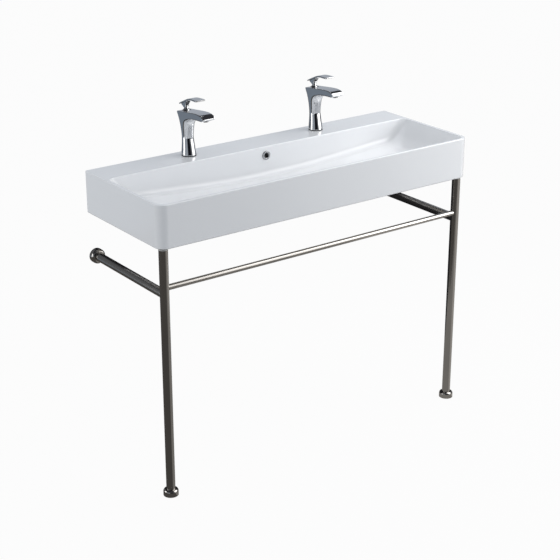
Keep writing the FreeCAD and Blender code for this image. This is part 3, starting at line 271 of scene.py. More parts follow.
def object_place(tree):
    """Where a point of the piece lies, in the piece's own frame."""
    return add(tree, "ShaderNodeTexCoord").outputs["Object"]


def mottle_group():
    """Broad, faint shifts of colour between two tints."""
    group = new_group(
        "Mottle",
        [("First", "NodeSocketColor", (1, 1, 1, 1)), ("Second", "NodeSocketColor", (0, 0, 0, 1)),
         ("Scale", "NodeSocketFloat", 8.0)],
        [("Color", "NodeSocketColor")],
    )
    source = add(group, "NodeGroupInput").outputs
    target = add(group, "NodeGroupOutput").inputs
    cloud = noise(group, object_place(group), source["Scale"], detail=4.0)
    group.links.new(mix_colour(group, cloud, source["First"], source["Second"]), target["Color"])
    return group


def handling_group():
    """Faint smears and wiped patches that change the gloss."""
    group = new_group(
        "Handling",
        [("Scale", "NodeSocketFloat", 30.0), ("Low", "NodeSocketFloat", 0.03),
         ("High", "NodeSocketFloat", 0.1)],
        [("Roughness", "NodeSocketFloat"), ("Height", "NodeSocketFloat")],
    )
    source = add(group, "NodeGroupInput").outputs
    target = add(group, "NodeGroupOutput").inputs
    place = object_place(group)
    patches = noise(group, place, source["Scale"], detail=6.0)
    finer = math_node(group, "MULTIPLY", source["Scale"], SMEAR_FINENESS)
    fine = noise(group, place, finer, detail=2.0)
    both = math_node(group, "MULTIPLY", patches, spread(group, fine, low=0.7, high=1.3))
    span = math_node(group, "SUBTRACT", source["High"], source["Low"])
    rough = math_node(group, "ADD", source["Low"], math_node(group, "MULTIPLY", both, span))
    group.links.new(rough, target["Roughness"])
    group.links.new(fine, target["Height"])
    return group


def drawn_lines_group():
    """Fine lines left by polishing or turning, long in one direction."""
    group = new_group(
        "Drawn lines",
        [("Stretch", "NodeSocketVector", (900.0, 900.0, 6.0))],
        [("Lines", "NodeSocketFloat")],
    )
    source = add(group, "NodeGroupInput").outputs
    target = add(group, "NodeGroupOutput").inputs
    scaled = add(group, "ShaderNodeVectorMath", operation="MULTIPLY")
    group.links.new(object_place(group), scaled.inputs[0])
    group.links.new(source["Stretch"], scaled.inputs[1])
    lines = noise(group, scaled.outputs["Vector"], scale=1.0, detail=2.0)
    group.links.new(lines, target["Lines"])
    return group


def shared_groups():
    makers = {"Mottle": mottle_group, "Handling": handling_group, "Drawn lines": drawn_lines_group}
    return {name: bpy.data.node_groups.get(name) or make() for name, make in makers.items()}


# Finishes

# Ceramic is left bare this near the wall and on faces that point down more steeply than the tilt.
BARE_DEPTH = 0.6 * MM
BARE_TILT = -0.75
BARE_ROUGHNESS = 0.5
BARE_GRAIN_SHARE = 0.4
# How far polishing lines darken a metal, and to what level of its colour
STREAK_SHARE = 0.5
STREAK_LEVEL = 0.72
GRAINS_TO_A_PATCH = 20.0

# Bright plate: its colour, the least and the most roughness, and the scale of its wiped patches
PLATED = {
    "bright_chrome": ("chrome", 0.03, 0.09, 40.0),
    # The overflow ring takes the chrome made darker, as painted shade for its dark reflections
    "ring_chrome": ("ring_plate", 0.05, 0.12, 40.0),
    "index_button": ("chrome", 0.06, 0.16, 200.0),
    "stainless_dome": ("stainless", 0.08, 0.16, 60.0),
}
# Drawn or turned metal: its colour, the stretch of its lines on each axis, the least and the most roughness
DRAWN = {
    "stainless_upright": ("stainless", (700.0, 700.0, 5.0), 0.1, 0.2),
    "stainless_arm": ("stainless", (700.0, 5.0, 700.0), 0.1, 0.2),
    "stainless_rail": ("stainless", (5.0, 700.0, 700.0), 0.1, 0.2),
    "turned_steel": ("turned_steel", (200.0, 200.0, 2500.0), 0.22, 0.4),
    "plain_brass": ("brass", (200.0, 200.0, 2200.0), 0.25, 0.45),
}
# Rubber, plastic and plain ceramic: the colour, the least and the most roughness, the scale of the grain
MOULDED = {
    "black_rubber": ("rubber", 0.55, 0.8, 2600.0),
    "white_acetal": ("acetal", 0.35, 0.55, 3000.0),
    "lapped_alumina": ("alumina", 0.12, 0.25, 4000.0),
}


def place_group(tree, group, **inputs):
    node = add(tree, "ShaderNodeGroup")
    node.node_tree = group
    for label, value in inputs.items():
        node.inputs[label].default_value = value
    return node


def rgba(colour, level=1.0):
    return (colour[0] * level, colour[1] * level, colour[2] * level, 1.0)


def new_finish(name, metallic=0.0, **fixed):
    """A material with its Principled shader, the fixed values set on the shader itself."""
    material = bpy.data.materials.new(name)
    material.use_nodes = True
    shader = material.node_tree.nodes["Principled BSDF"]
    shader.inputs["Metallic"].default_value = metallic
    for label, value in fixed.items():
        shader.inputs[label.replace("_", " ")].default_value = value
    return material, material.node_tree, shader


def add_bump(tree, shader, height, strength, distance):
    bump = add(tree, "ShaderNodeBump")
    bump.inputs["Strength"].default_value = strength
    bump.inputs["Distance"].default_value = distance
    tree.links.new(height, bump.inputs["Height"])
    tree.links.new(bump.outputs["Normal"], shader.inputs["Normal"])


def mottled(tree, groups, tint, light, dark, scale):
    """Colour that drifts between a lighter and a darker level of a tint."""
    first, second = rgba(tint, light), rgba(tint, dark)
    return place_group(tree, groups["Mottle"], First=first, Second=second, Scale=scale).outputs["Color"]


def glaze_finish(groups):
    """Thick white glaze; bare bisque on the wall side, under the skirt and in the hollow."""
    material, tree, shader = new_finish(
        "white_glaze", IOR=1.52, Coat_Roughness=0.12, Specular_IOR_Level=0.12)
    glaze = mottled(tree, groups, colours().glaze, light=1.02, dark=0.975, scale=5.0)
    bisque = mottled(tree, groups, colours().bisque, light=1.08, dark=0.9, scale=60.0)
    gloss = place_group(tree, groups["Handling"], Scale=9.0, Low=0.1, High=0.2)
    place = add(tree, "ShaderNodeSeparateXYZ")
    tree.links.new(object_place(tree), place.inputs[0])
    facing = add(tree, "ShaderNodeSeparateXYZ")
    tree.links.new(add(tree, "ShaderNodeNewGeometry").outputs["Normal"], facing.inputs[0])
    wall_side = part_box("basin")[1].y - BARE_DEPTH
    at_wall = math_node(tree, "GREATER_THAN", place.outputs["Y"], wall_side)
    down = math_node(tree, "LESS_THAN", facing.outputs["Z"], BARE_TILT)
    bare = math_node(tree, "MAXIMUM", at_wall, down)
    tree.links.new(mix_colour(tree, bare, glaze, bisque), shader.inputs["Base Color"])
    dull = math_node(tree, "MULTIPLY", bare, BARE_ROUGHNESS)
    rough = math_node(tree, "ADD", gloss.outputs["Roughness"], dull, clamp=True)
    tree.links.new(rough, shader.inputs["Roughness"])
    tree.links.new(math_node(tree, "SUBTRACT", 1.0, bare), shader.inputs["Coat Weight"])
    ripple = noise(tree, object_place(tree), scale=26.0, detail=1.0)
    grain = noise(tree, object_place(tree), scale=1400.0, detail=3.0)
    bare_grain = math_node(tree, "MULTIPLY", math_node(tree, "MULTIPLY", grain, bare), BARE_GRAIN_SHARE)
    relief = math_node(tree, "ADD", ripple, bare_grain)
    add_bump(tree, shader, relief, strength=0.05, distance=0.6 * MM)
    return material


def plated_finish(groups, name, tint, low, high, scale):
    """Bright plate with faint wiped patches."""
    material, tree, shader = new_finish(name, metallic=1.0)
    base = mottled(tree, groups, tint, light=1.05, dark=0.93, scale=22.0)
    gloss = place_group(tree, groups["Handling"], Scale=scale, Low=low, High=high)
    tree.links.new(base, shader.inputs["Base Color"])
    tree.links.new(gloss.outputs["Roughness"], shader.inputs["Roughness"])
    add_bump(tree, shader, gloss.outputs["Height"], strength=0.012, distance=0.05 * MM)
    return material


def drawn_finish(groups, name, tint, stretch, low, high):
    """Metal with fine lines along its length."""
    material, tree, shader = new_finish(name, metallic=1.0)
    lines = place_group(tree, groups["Drawn lines"], Stretch=stretch).outputs["Lines"]
    base = mottled(tree, groups, tint, light=1.1, dark=0.86, scale=9.0)
    streaks = math_node(tree, "MULTIPLY", lines, STREAK_SHARE)
    shaded = mix_colour(tree, streaks, base, rgba(tint, STREAK_LEVEL))
    tree.links.new(shaded, shader.inputs["Base Color"])
    tree.links.new(spread(tree, lines, low, high), shader.inputs["Roughness"])
    add_bump(tree, shader, lines, strength=0.03, distance=0.04 * MM)
    return material


def moulded_finish(groups, name, tint, low, high, grain):
    """Rubber, plastic or plain ceramic with a fine moulded grain."""
    material, tree, shader = new_finish(name)
    base = mottled(tree, groups, tint, light=1.12, dark=0.86, scale=90.0)
    gloss = place_group(tree, groups["Handling"], Scale=grain / GRAINS_TO_A_PATCH, Low=low, High=high)
    tree.links.new(base, shader.inputs["Base Color"])
    tree.links.new(gloss.outputs["Roughness"], shader.inputs["Roughness"])
    add_bump(tree, shader, noise(tree, object_place(tree), grain), strength=0.15, distance=0.08 * MM)
    return material


def finish(name):
    """The named finish, made the first time it is asked for."""
    found = bpy.data.materials.get(name)
    if found:
        return found
    groups = shared_groups()
    if name == "white_glaze":
        return glaze_finish(groups)
    for table, make in ((PLATED, plated_finish), (DRAWN, drawn_finish), (MOULDED, moulded_finish)):
        if name in table:
            colour, *values = table[name]
            return make(groups, name, getattr(colours(), colour), *values)
    raise ValueError(f"no finish is named {name}")


def dress(node, name):
    """Gives a CAD node its finish."""
    mesh = NODES[node].data
    mesh.materials.clear()
    mesh.materials.append(finish(name))


# Mesh helpers

# Degrees round a rounded corner at which a section has a point
CORNER_TURNS = (9, 27, 45, 63, 81)
# How far the lever's pivot lies behind the tap's axis
PIVOT_BACK = 8 * MM


def new_piece(name, mesh, finish_name, node):
    """Links a finished mesh as a piece that stands for a CAD node and rides where it rode."""
    piece = bpy.data.objects.new(name, mesh)
    bpy.context.scene.collection.objects.link(piece)
    mesh.materials.clear()
    mesh.materials.append(finish(finish_name))
    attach(piece, NODES[node]["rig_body"])
    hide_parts(node)
    return piece


def mesh_from(bm, name, sharp=SHARP_EDGE):
    mesh = bpy.data.meshes.new(name)
    bm.to_mesh(mesh)
    bm.free()
    mesh.polygons.foreach_set("use_smooth", [True] * len(mesh.polygons))
    mesh.set_sharp_from_angle(angle=sharp)
    return mesh


def smooth_copy(node, finish_name):
    """A welded copy of a CAD node with rounded surfaces shaded smoothly."""
    bm = bmesh.new()
    bm.from_mesh(NODES[node].data)
    bmesh.ops.remove_doubles(bm, verts=bm.verts, dist=WELD)
    bmesh.ops.dissolve_degenerate(bm, edges=bm.edges, dist=SLIVER)
    name = f"{node}_surface"
    piece = new_piece(name, mesh_from(bm, name, SHARP_CAD_EDGE), finish_name, node)
    weighted = piece.modifiers.new("Face weights", "WEIGHTED_NORMAL")
    weighted.keep_sharp = True


def rounded_ring(half_width, half_depth, near_round, far_round):
    """Points round a rectangle whose near and far corners have their own rounding."""
    points = []
    for side, depth, rounding, start in (
        (1, -1, near_round, -90), (1, 1, far_round, 0), (-1, 1, far_round, 90), (-1, -1, near_round, 180),
    ):
        centre = Vector((side * (half_width - rounding), depth * (half_depth - rounding)))
        for turn in CORNER_TURNS:
            angle = math.radians(start + turn)
            points.append(centre + rounding * Vector((math.cos(angle), math.sin(angle))))
    return points


def add_loop(bm, spots):
    """A closed loop of edges through the given spots."""
    verts = bmesh.ops.create_circle(bm, cap_ends=False, segments=len(spots), radius=1.0)["verts"]
    for vert, spot in zip(verts, spots):
        vert.co = spot
    return [bm.edges.get((vert, verts[(i + 1) % len(verts)])) for i, vert in enumerate(verts)]


def skin_loops(bm, loops):
    """Bridges each loop to the next and closes both ends."""
    for here, after in zip(loops, loops[1:]):
        bmesh.ops.bridge_loops(bm, edges=here + after)
    for end in (loops[0], loops[-1]):
        bmesh.ops.edgeloop_fill(bm, edges=end)


def section(origin, near, far, half_width, near_round, far_round):
    """Loop of a rounded section that leans from a near to a far spot, both given across and up in mm."""
    low = Vector((0.0, near[0], near[1])) * MM
    high = Vector((0.0, far[0], far[1])) * MM
    middle = (low + high) / 2
    lean = (high - low).normalized()
    flat = rounded_ring(half_width, (high - low).length / 2, near_round * MM, far_round * MM)
    return [origin + middle + Vector((point.x, 0.0, 0.0)) + lean * point.y for point in flat]


def tap_origin(side):
    """Where the tap's axis meets the deck: below and in front of its lever's pivot."""
    joint = next(item for item in frame["joints"] if item["name"] == f"{side}_temperature")
    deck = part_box("basin")[1].z
    return Vector((joint["pos_m"][0], joint["pos_m"][1] - PIVOT_BACK, deck))


def rounded_mesh(bm, name, cutter=None):
    """Mesh of a cage after subdivision, with a cutter's shape taken out of it."""
    bmesh.ops.recalc_face_normals(bm, faces=bm.faces)
    cage = bpy.data.objects.new(name, mesh_from(bm, f"{name}_cage"))
    bpy.context.scene.collection.objects.link(cage)
    rounding = cage.modifiers.new("Rounding", "SUBSURF")
    rounding.levels = tap_sizes().rounding_levels
    rounding.render_levels = tap_sizes().rounding_levels
    if cutter:
        well = cage.modifiers.new("Well", "BOOLEAN")
        well.operation = "DIFFERENCE"
        well.object = cutter
    graph = bpy.context.evaluated_depsgraph_get()
    mesh = bpy.data.meshes.new_from_object(cage.evaluated_get(graph))
    mesh.name = name
    mesh.polygons.foreach_set("use_smooth", [True] * len(mesh.polygons))
    mesh.set_sharp_from_angle(angle=SHARP_ROUNDED_EDGE)
    for spent in (cage, cutter):
        if spent:
            bpy.data.objects.remove(spent)
    return mesh


# Tap body from the foot up the column and along the spout to its nose: near and far spot across and up from
# the deck, half width, and the rounding of the near and far corners, all in mm.
COLUMN = (
    ((-21.9, 1.6), (21.9, 1.6), 21.9, 21.6, 21.6),
    ((-21.9, 3.0), (21.9, 3.0), 21.9, 21.6, 21.6),
    ((-19.6, 14.0), (21.6, 14.0), 20.4, 19.8, 19.8),
    ((-16.6, 28.0), (21.0, 28.0), 18.8, 18.2, 18.2),
    ((-13.9, 42.0), (20.7, 42.0), 17.6, 16.8, 16.8),
    ((-12.6, 49.0), (20.7, 49.0), 17.1, 16.2, 16.2),
    ((-12.1, 54.0), (20.9, 54.0), 17.0, 16.0, 16.0),
    ((-12.2, 60.0), (21.2, 60.0), 17.1, 16.0, 16.0),
    ((-12.9, 72.0), (22.2, 72.0), 17.8, 16.4, 16.4),
    ((-13.8, 86.0), (23.8, 86.5), 19.0, 16.6, 16.6),
    ((-15.2, 96.0), (25.2, 100.0), 20.0, 15.5, 15.0),
    ((-18.0, 102.5), (26.4, 112.0), 20.7, 13.0, 11.5),
    ((-22.5, 107.0), (27.3, 121.0), 21.1, 11.0, 7.0),
    ((-27.5, 110.2), (27.6, 126.0), 21.3, 9.5, 3.6),
    ((-31.0, 112.0), (26.2, 128.2), 21.3, 8.6, 2.8),
)
SPOUT = (
    ((-35.0, 113.6), (14.0, 129.7), 21.3, 7.6, 2.4),
    ((-44.0, 115.9), (-14.0, 132.8), 21.3, 7.0, 2.2),
    ((-58.0, 117.5), (-44.0, 136.3), 21.3, 6.5, 2.2),
    ((-76.0, 118.7), (-70.0, 138.8), 21.3, 6.0, 2.2),
    ((-91.0, 119.8), (-87.0, 138.1), 21.3, 5.0, 2.2),
    ((-98.6, 120.4), (-97.6, 135.2), 21.3, 4.0, 2.0),
    ((-101.4, 121.9), (-100.4, 134.1), 21.3, 3.2, 1.8),
    ((-107.2, 126.5), (-101.3, 133.7), 21.2, 1.8, 1.4),
    ((-108.2, 127.4), (-101.9, 133.2), 21.0, 1.4, 1.2),
)

# Lever blade from its rear end to its front: place across, upper and lower height and half width in mm.
BLADE = (
    (34.0, 146.2, 144.2, 7.4),
    (33.3, 147.0, 143.5, 8.3),
    (26.0, 150.3, 146.5, 10.1),
    (16.0, 154.8, 150.8, 11.4),
    (4.0, 160.3, 156.0, 11.5),
    (-6.0, 164.9, 160.3, 11.6),
    (-14.0, 168.3, 163.6, 12.2),
    (-24.0, 171.6, 166.9, 13.1),
    (-34.0, 173.0, 168.4, 14.1),
    (-48.0, 173.3, 168.9, 15.4),
    (-60.0, 173.4, 169.2, 16.3),
    (-65.5, 173.4, 169.4, 16.2),
    (-67.4, 173.3, 169.8, 15.3),
    (-68.0, 172.8, 170.3, 13.0),
)
# Web that carries the blade, from its foot on the dome up: height, front and rear place, half width in mm.
WEB = (
    (135.4, 2.0, 14.0, 6.0),
    (136.2, 1.7, 14.4, 6.3),
    (139.0, 1.2, 16.6, 6.6),
    (142.0, 0.8, 21.8, 6.9),
    (145.0, 0.4, 28.2, 7.1),
    (148.0, -0.4, 26.0, 7.2),
    (152.0, -3.0, 18.0, 7.4),
    (157.0, -7.0, 8.0, 7.7),
    (162.0, -11.0, -2.0, 8.0),
)
# Largest rounding of a corner, as a share of what a section has room for, and of a blade's edge in mm
BODY_ROUND_SHARE = 0.985
WEB_ROUND_SHARE = 0.85
BLADE_ROUND_SHARE = 0.45
BLADE_ROUND = 1.3
# Heights above the deck between which the well for the dome is cut
WELL_BOTTOM = 96 * MM
WELL_TOP = 150 * MM


class BASIN_OT_ceramic(bpy.types.Operator):
    """Glazed basin with its rounded bowl"""

    bl_idname = "basin.ceramic"
    bl_label = "Ceramic basin"

    def execute(self, context):
        smooth_copy("basin", "white_glaze")
        return {"FINISHED"}


class BASIN_OT_tap_bodies(bpy.types.Operator):
    """Waisted columns that run over into flat spouts"""

    bl_idname = "basin.tap_bodies"
    bl_label = "Tap bodies"

    def execute(self, context):
        for side in SIDES:
            self.build(side)
        return {"FINISHED"}

    def build(self, side):
        origin = tap_origin(side)
        bm = bmesh.new()
        loops = []
        for near, far, half_width, near_round, far_round in COLUMN + SPOUT:
            limit = min(half_width, math.dist(near, far) / 2) * BODY_ROUND_SHARE
            roundings = (min(near_round, limit), min(far_round, limit))
            loops.append(add_loop(bm, section(origin, near, far, half_width * MM, *roundings)))
        skin_loops(bm, loops)
        name = f"{side}_tap_column"
        mesh = rounded_mesh(bm, name, self.well(origin, name))
        new_piece(name, mesh, "bright_chrome", f"{side}_tap_body")

    def well(self, origin, name):
        """Cylinder that opens the round well for the dome."""
        bm = bmesh.new()
        radius = tap_sizes().well_radius
        middle = Matrix.Translation(origin + Vector((0.0, PIVOT_BACK, (WELL_BOTTOM + WELL_TOP) / 2)))
        bmesh.ops.create_cone(
            bm, cap_ends=True, segments=ROUND_SEGMENTS, radius1=radius, radius2=radius,
            depth=WELL_TOP - WELL_BOTTOM, matrix=middle)
        cutter = bpy.data.objects.new(f"{name}_well", mesh_from(bm, f"{name}_well"))
        bpy.context.scene.collection.objects.link(cutter)
        return cutter


class BASIN_OT_levers(bpy.types.Operator):
    """Bent lever blades on their tapered necks"""

    bl_idname = "basin.levers"
    bl_label = "Tap levers"

    def execute(self, context):
        for side in SIDES:
            self.build(side)
        return {"FINISHED"}

    def build(self, side):
        origin = tap_origin(side)
        bm = bmesh.new()
        blade = []
        for across, upper, lower, half_width in BLADE:
            rounding = min(BLADE_ROUND, (upper - lower) * BLADE_ROUND_SHARE)
            spots = section(origin, (across, lower), (across, upper), half_width * MM, rounding, rounding)
            blade.append(add_loop(bm, spots))
        skin_loops(bm, blade)
        web = []
        for height, front, rear, half_width in WEB:
            rounding = min(half_width, (rear - front) / 2) * WEB_ROUND_SHARE
            spots = section(origin, (front, height), (rear, height), half_width * MM, rounding, rounding)
            web.append(add_loop(bm, spots))
        skin_loops(bm, web)
        name = f"{side}_lever_blade"
        new_piece(name, rounded_mesh(bm, name), "bright_chrome", f"{side}_tap_lever")


class BASIN_OT_tap_trim(bpy.types.Operator):
    """Domes, index buttons, aerators and the small fittings of the taps"""

    bl_idname = "basin.tap_trim"
    bl_label = "Tap trim and mechanism"

    def execute(self, context):
        for side in SIDES:
            smooth_copy(f"{side}_dome", "bright_chrome")
            smooth_copy(f"{side}_index_cap", "index_button")
            dress(f"{side}_cartridge_housing", "white_acetal")
            dress(f"{side}_guide_sleeve", "white_acetal")
            dress(f"{side}_moving_disc", "lapped_alumina")
            for piece in ("pivot_pin", "spindle", "lever_screw"):
                dress(f"{side}_{piece}", "turned_steel")
        smooth_copy("tap_aerator_housings", "bright_chrome")
        dress("tap_aerator_inserts", "white_acetal")
        dress("tap_fixed_discs", "lapped_alumina")
        dress("tap_cartridge_nuts", "plain_brass")
        dress("tap_fixing_nuts", "plain_brass")
        dress("tap_fixing_studs", "turned_steel")
        dress("tap_clamp_plates", "turned_steel")
        for node in ("tap_base_gaskets", "tap_clamp_washers"):
            dress(node, "black_rubber")
        return {"FINISHED"}


class BASIN_OT_waste(bpy.types.Operator):
    """Overflow ring, waste, plug and tail"""

    bl_idname = "basin.waste"
    bl_label = "Overflow and waste"

    def execute(self, context):
        # The overflow ring gets the darkened chrome, which is painted shade
        smooth_copy("overflow_ring", "ring_chrome")
        for node in ("waste_body", "waste_plug_cap"):
            smooth_copy(node, "bright_chrome")
        for node in ("waste_lock_nut", "waste_tail"):
            smooth_copy(node, "plain_brass")
        for node in ("waste_plug_stem", "waste_latch"):
            dress(node, "plain_brass")
        for node in ("waste_seal", "waste_cone_washer", "waste_plug_seal"):
            dress(node, "black_rubber")
        return {"FINISHED"}


class BASIN_OT_stand(bpy.types.Operator):
    """Polished legs, arms, towel rail and their domed covers"""

    bl_idname = "basin.stand"
    bl_label = "Bracket stand"

    def execute(self, context):
        smooth_copy("towel_rail", "stainless_rail")
        for side in SIDES:
            smooth_copy(f"{side}_leg", "stainless_upright")
            smooth_copy(f"{side}_arm", "stainless_arm")
            smooth_copy(f"{side}_foot_cover", "stainless_dome")
            smooth_copy(f"{side}_wall_cover", "stainless_dome")
            dress(f"{side}_levelling_foot", "turned_steel")
            dress(f"{side}_wall_plate", "turned_steel")
        for node in ("arm_spigots", "rail_spigots", "spigot_inserts", "stand_grub_screws"):
            dress(node, "turned_steel")
        for node in ("leg_foot_inserts", "leg_top_plugs"):
            dress(node, "white_acetal")
        dress("leg_top_pads", "black_rubber")
        return {"FINISHED"}


# Studio places and sizes in metres

FLOOR_HALF = 9.0
FLOOR_WHITE_SHARE = 0.96
# Softboxes: place, the spot each is turned to, its width, and the setting that holds its power
SOFTBOXES = (
    ("key_softbox", (1.35, -0.9, 1.1), (0.1, -0.1, 0.78), 0.9, "key"),
    ("top_softbox", (1.25, -0.55, 1.9), (0.1, 0.0, 0.8), 1.2, "top"),
    ("fill_softbox", (-2.3, 1.0, 0.9), (-0.5, 0.0, 0.8), 1.2, "fill"),
)
# Round room that polished metal shows: its wall, and the floor cloth and ceiling that reach past it
ROOM_RADIUS = 6.5
ROOM_HEIGHT = 5.0
COVER_RADIUS = 7.0
CLOTH_HEIGHT = 1 * MM
# Cards: place, the spot each is turned to, half width, half height, and the setting that holds its tone
OVER_RIM = (0.0, 0.1, 1.3)
CARDS = (
    ("pale_sheet", (3.2, 4.4, 1.8), (0.0, 0.0, 0.9), 2.4, 2.4, "sheet"),
    ("black_flag", (-1.6, -3.9, 1.3), OVER_RIM, 1.9, 1.1, "flag"),
    ("grey_screen", (-4.4, -1.6, 1.3), OVER_RIM, 1.8, 1.1, "screen"),
    ("white_board", (2.2, -2.95, 2.75), OVER_RIM, 1.0, 2.2, "board"),
    ("dark_drape", (0.4, 0.3, 0.4), (0.4, -1.0, 0.4), 0.9, 0.4, "drape"),
)
BACKING_HALF = 1.7
BACKING_PLACE = (-2.0, 3.45, 3 * MM)
# Runners: the leg each starts from, its height over the floor, and the setting that holds its tone
RUNNERS = (("left", 2 * MM, "near_runner"), ("right", 4 * MM, "far_runner"))
RUNNER_CORNERS = ((0.0, 0.0, 0.0), (2.4, -5.5, 0.0), (3.0, 5.2, 0.0))
# Camera's sensor in mm, and how far it sees
SENSOR_WIDTH = 36.0
CLIP_END = 60.0


def aim(thing, place, target):
    """Puts a lamp or card at a place and turns its -Z towards a target."""
    thing.location = place
    thing.rotation_euler = (Vector(target) - Vector(place)).to_track_quat("-Z", "Y").to_euler()


def seen_white(tree):
    """Nought or one: whether a ray comes from the camera, a gloss or a clear surface."""
    path = add(tree, "ShaderNodeLightPath")
    either = math_node(tree, "MAXIMUM", path.outputs["Is Camera Ray"], path.outputs["Is Glossy Ray"])
    return math_node(tree, "MAXIMUM", either, path.outputs["Is Transmission Ray"])


class BASIN_OT_stage(bpy.types.Operator):
    """Pale floor, soft studio light and the camera"""

    bl_idname = "basin.stage"
    bl_label = "Studio"

    def execute(self, context):
        self.lay_floor()
        self.light_sky()
        self.hang_softboxes()
        self.build_room()
        self.hang_cards()
        self.lay_runners()
        self.set_camera()
        context.scene.view_settings.view_transform = "Standard"
        return {"FINISHED"}

    def lay_floor(self):
        bm = bmesh.new()
        bmesh.ops.create_grid(bm, x_segments=1, y_segments=1, size=FLOOR_HALF)
        floor = self.add_stage("studio_floor", bm)
        material, tree = self.bare_material("pale_floor")
        matt = add(tree, "ShaderNodeBsdfDiffuse")
        matt.inputs["Color"].default_value = rgba(colours().floor)
        white = add(tree, "ShaderNodeEmission")
        white.inputs["Strength"].default_value = 1.0
        blend = add(tree, "ShaderNodeMixShader")
        share = math_node(tree, "MULTIPLY", seen_white(tree), FLOOR_WHITE_SHARE)
        tree.links.new(share, blend.inputs["Fac"])
        tree.links.new(matt.outputs["BSDF"], blend.inputs[1])
        tree.links.new(white.outputs["Emission"], blend.inputs[2])
        tree.links.new(blend.outputs["Shader"], tree.nodes["Material Output"].inputs["Surface"])
        floor.data.materials.append(material)

    def add_stage(self, name, bm):
        thing = bpy.data.objects.new(name, mesh_from(bm, name))
        bpy.context.scene.collection.objects.link(thing)
        return thing

    def bare_material(self, name):
        """A material whose tree holds only its output."""
        material = bpy.data.materials.new(name)
        material.use_nodes = True
        material.node_tree.nodes.remove(material.node_tree.nodes["Principled BSDF"])
        return material, material.node_tree

    def light_sky(self):
        world = bpy.data.worlds.new("studio_sky")
        bpy.context.scene.world = world
        world.use_nodes = True
        tree = world.node_tree
        tint = mix_colour(tree, seen_white(tree), rgba(studio().sky), (1.0, 1.0, 1.0, 1.0))
        tree.links.new(tint, tree.nodes["Background"].inputs["Color"])

    def hang_softboxes(self):
        for name, place, target, width, power in SOFTBOXES:
            lamp = bpy.data.lights.new(name, "AREA")
            lamp.energy = getattr(studio(), power)
            lamp.size = width
            softbox = bpy.data.objects.new(name, lamp)
            bpy.context.scene.collection.objects.link(softbox)
            aim(softbox, place, target)

    def build_room(self):
        """Dark room that only polished surfaces show, open to the camera and to the light."""
        for name, height, tint in (
            ("floor_cloth", CLOTH_HEIGHT, studio().cloth),
            ("studio_ceiling", ROOM_HEIGHT, studio().ceiling),
        ):
            bm = bmesh.new()
            bmesh.ops.create_circle(
                bm, cap_ends=True, segments=ROUND_SEGMENTS, radius=COVER_RADIUS,
                matrix=Matrix.Translation((0.0, 0.0, height)))
            self.hide_from_camera(self.add_stage(name, bm), tint)
        bm = bmesh.new()
        middle = Matrix.Translation((0.0, 0.0, ROOM_HEIGHT / 2))
        bmesh.ops.create_cone(
            bm, cap_ends=False, segments=ROUND_SEGMENTS, radius1=ROOM_RADIUS, radius2=ROOM_RADIUS,
            depth=ROOM_HEIGHT, matrix=middle)
        self.hide_from_camera(self.add_stage("studio_wall", bm), studio().wall)

    def hang_cards(self):
        """Cards round the basin that polished surfaces show."""
        for name, place, target, half_width, half_height, tone in CARDS:
            bm = bmesh.new()
            bmesh.ops.create_grid(bm, x_segments=1, y_segments=1, size=1.0)
            bmesh.ops.scale(bm, vec=(half_width, half_height, 1.0), verts=bm.verts)
            card = self.add_stage(name, bm)
            aim(card, place, target)
            self.hide_from_camera(card, getattr(studio(), tone))

    def lay_runners(self):
        """Paper and runners on the floor that polished surfaces show."""
        bm = bmesh.new()
        bmesh.ops.create_grid(
            bm, x_segments=1, y_segments=1, size=BACKING_HALF, matrix=Matrix.Translation(BACKING_PLACE))
        self.hide_from_camera(self.add_stage("grey_backing", bm), studio().backing)
        for side, height, tone in RUNNERS:
            low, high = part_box(f"{side}_leg")
            foot = Vector(((low.x + high.x) / 2, (low.y + high.y) / 2, height))
            bm = bmesh.new()
            ring = bmesh.ops.create_circle(bm, cap_ends=True, segments=len(RUNNER_CORNERS), radius=1.0)
            for vert, corner in zip(ring["verts"], RUNNER_CORNERS):
                vert.co = foot + Vector(corner)
            self.hide_from_camera(self.add_stage(f"{side}_runner", bm), getattr(studio(), tone))

    def hide_from_camera(self, card, tint):
        card.visible_camera = False
        card.visible_diffuse = False
        card.visible_transmission = False
        card.visible_shadow = False
        material, tree = self.bare_material(f"{card.name}_tone")
        glow = add(tree, "ShaderNodeEmission")
        glow.inputs["Color"].default_value = rgba(tint)
        tree.links.new(glow.outputs["Emission"], tree.nodes["Material Output"].inputs["Surface"])
        card.data.materials.append(material)

    def set_camera(self):
        settings = studio()
        turn, rise = settings.azimuth, settings.elevation
        back = Vector((math.sin(turn) * math.cos(rise), -math.cos(turn) * math.cos(rise), math.sin(rise)))
        right = Vector((math.cos(turn), math.sin(turn), 0.0))
        up = back.cross(right)
        rim = Vector((0.0, 0.0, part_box("basin")[1].z))
        lens = bpy.data.cameras.new("studio_camera")
        lens.lens = settings.lens
        lens.sensor_width = SENSOR_WIDTH
        lens.clip_end = CLIP_END
        camera = bpy.data.objects.new("studio_camera", lens)
        bpy.context.scene.collection.objects.link(camera)
        place = Matrix((right, up, back)).transposed().to_4x4()
        place.translation = rim + right * settings.slide - up * settings.drop + back * settings.distance
        camera.matrix_world = place
        bpy.context.scene.camera = camera


class BASIN_PT_panel(bpy.types.Panel):
    """Lists the sizes, the finishes and each step"""

    bl_idname = "BASIN_PT_panel"
    bl_label = "Console basin"
    bl_space_type = "VIEW_3D"
    bl_region_type = "UI"
    bl_category = "Basin"

    def draw(self, context):
        for settings in (tap_sizes(), colours(), studio()):
            column = self.layout.column()
            for name in settings.__annotations__:
                column.prop(settings, name)
        for step in STEPS:
            self.layout.operator(step.bl_idname)


STEPS = (
    BASIN_OT_ceramic,
    BASIN_OT_tap_bodies,
    BASIN_OT_levers,
    BASIN_OT_tap_trim,
    BASIN_OT_waste,
    BASIN_OT_stand,
    BASIN_OT_stage,
)
CLASSES = (FinishColours, TapSizes, StudioSettings) + STEPS + (BASIN_PT_panel,)


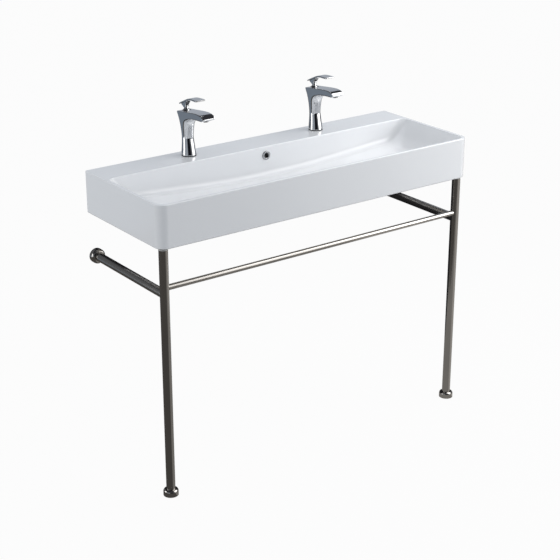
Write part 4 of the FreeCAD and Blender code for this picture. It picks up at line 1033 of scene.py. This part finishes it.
def register():
    for item in CLASSES:
        bpy.utils.register_class(item)
    bpy.types.Scene.basin_colours = bpy.props.PointerProperty(type=FinishColours)
    bpy.types.Scene.tap_sizes = bpy.props.PointerProperty(type=TapSizes)
    bpy.types.Scene.basin_studio = bpy.props.PointerProperty(type=StudioSettings)


def unregister():
    del bpy.types.Scene.basin_colours
    del bpy.types.Scene.tap_sizes
    del bpy.types.Scene.basin_studio
    for item in reversed(CLASSES):
        bpy.utils.unregister_class(item)


def main():
    register()
    for step in STEPS:
        group, name = step.bl_idname.split(".")
        getattr(getattr(bpy.ops, group), name)()


if __name__ == "__main__":
    main()
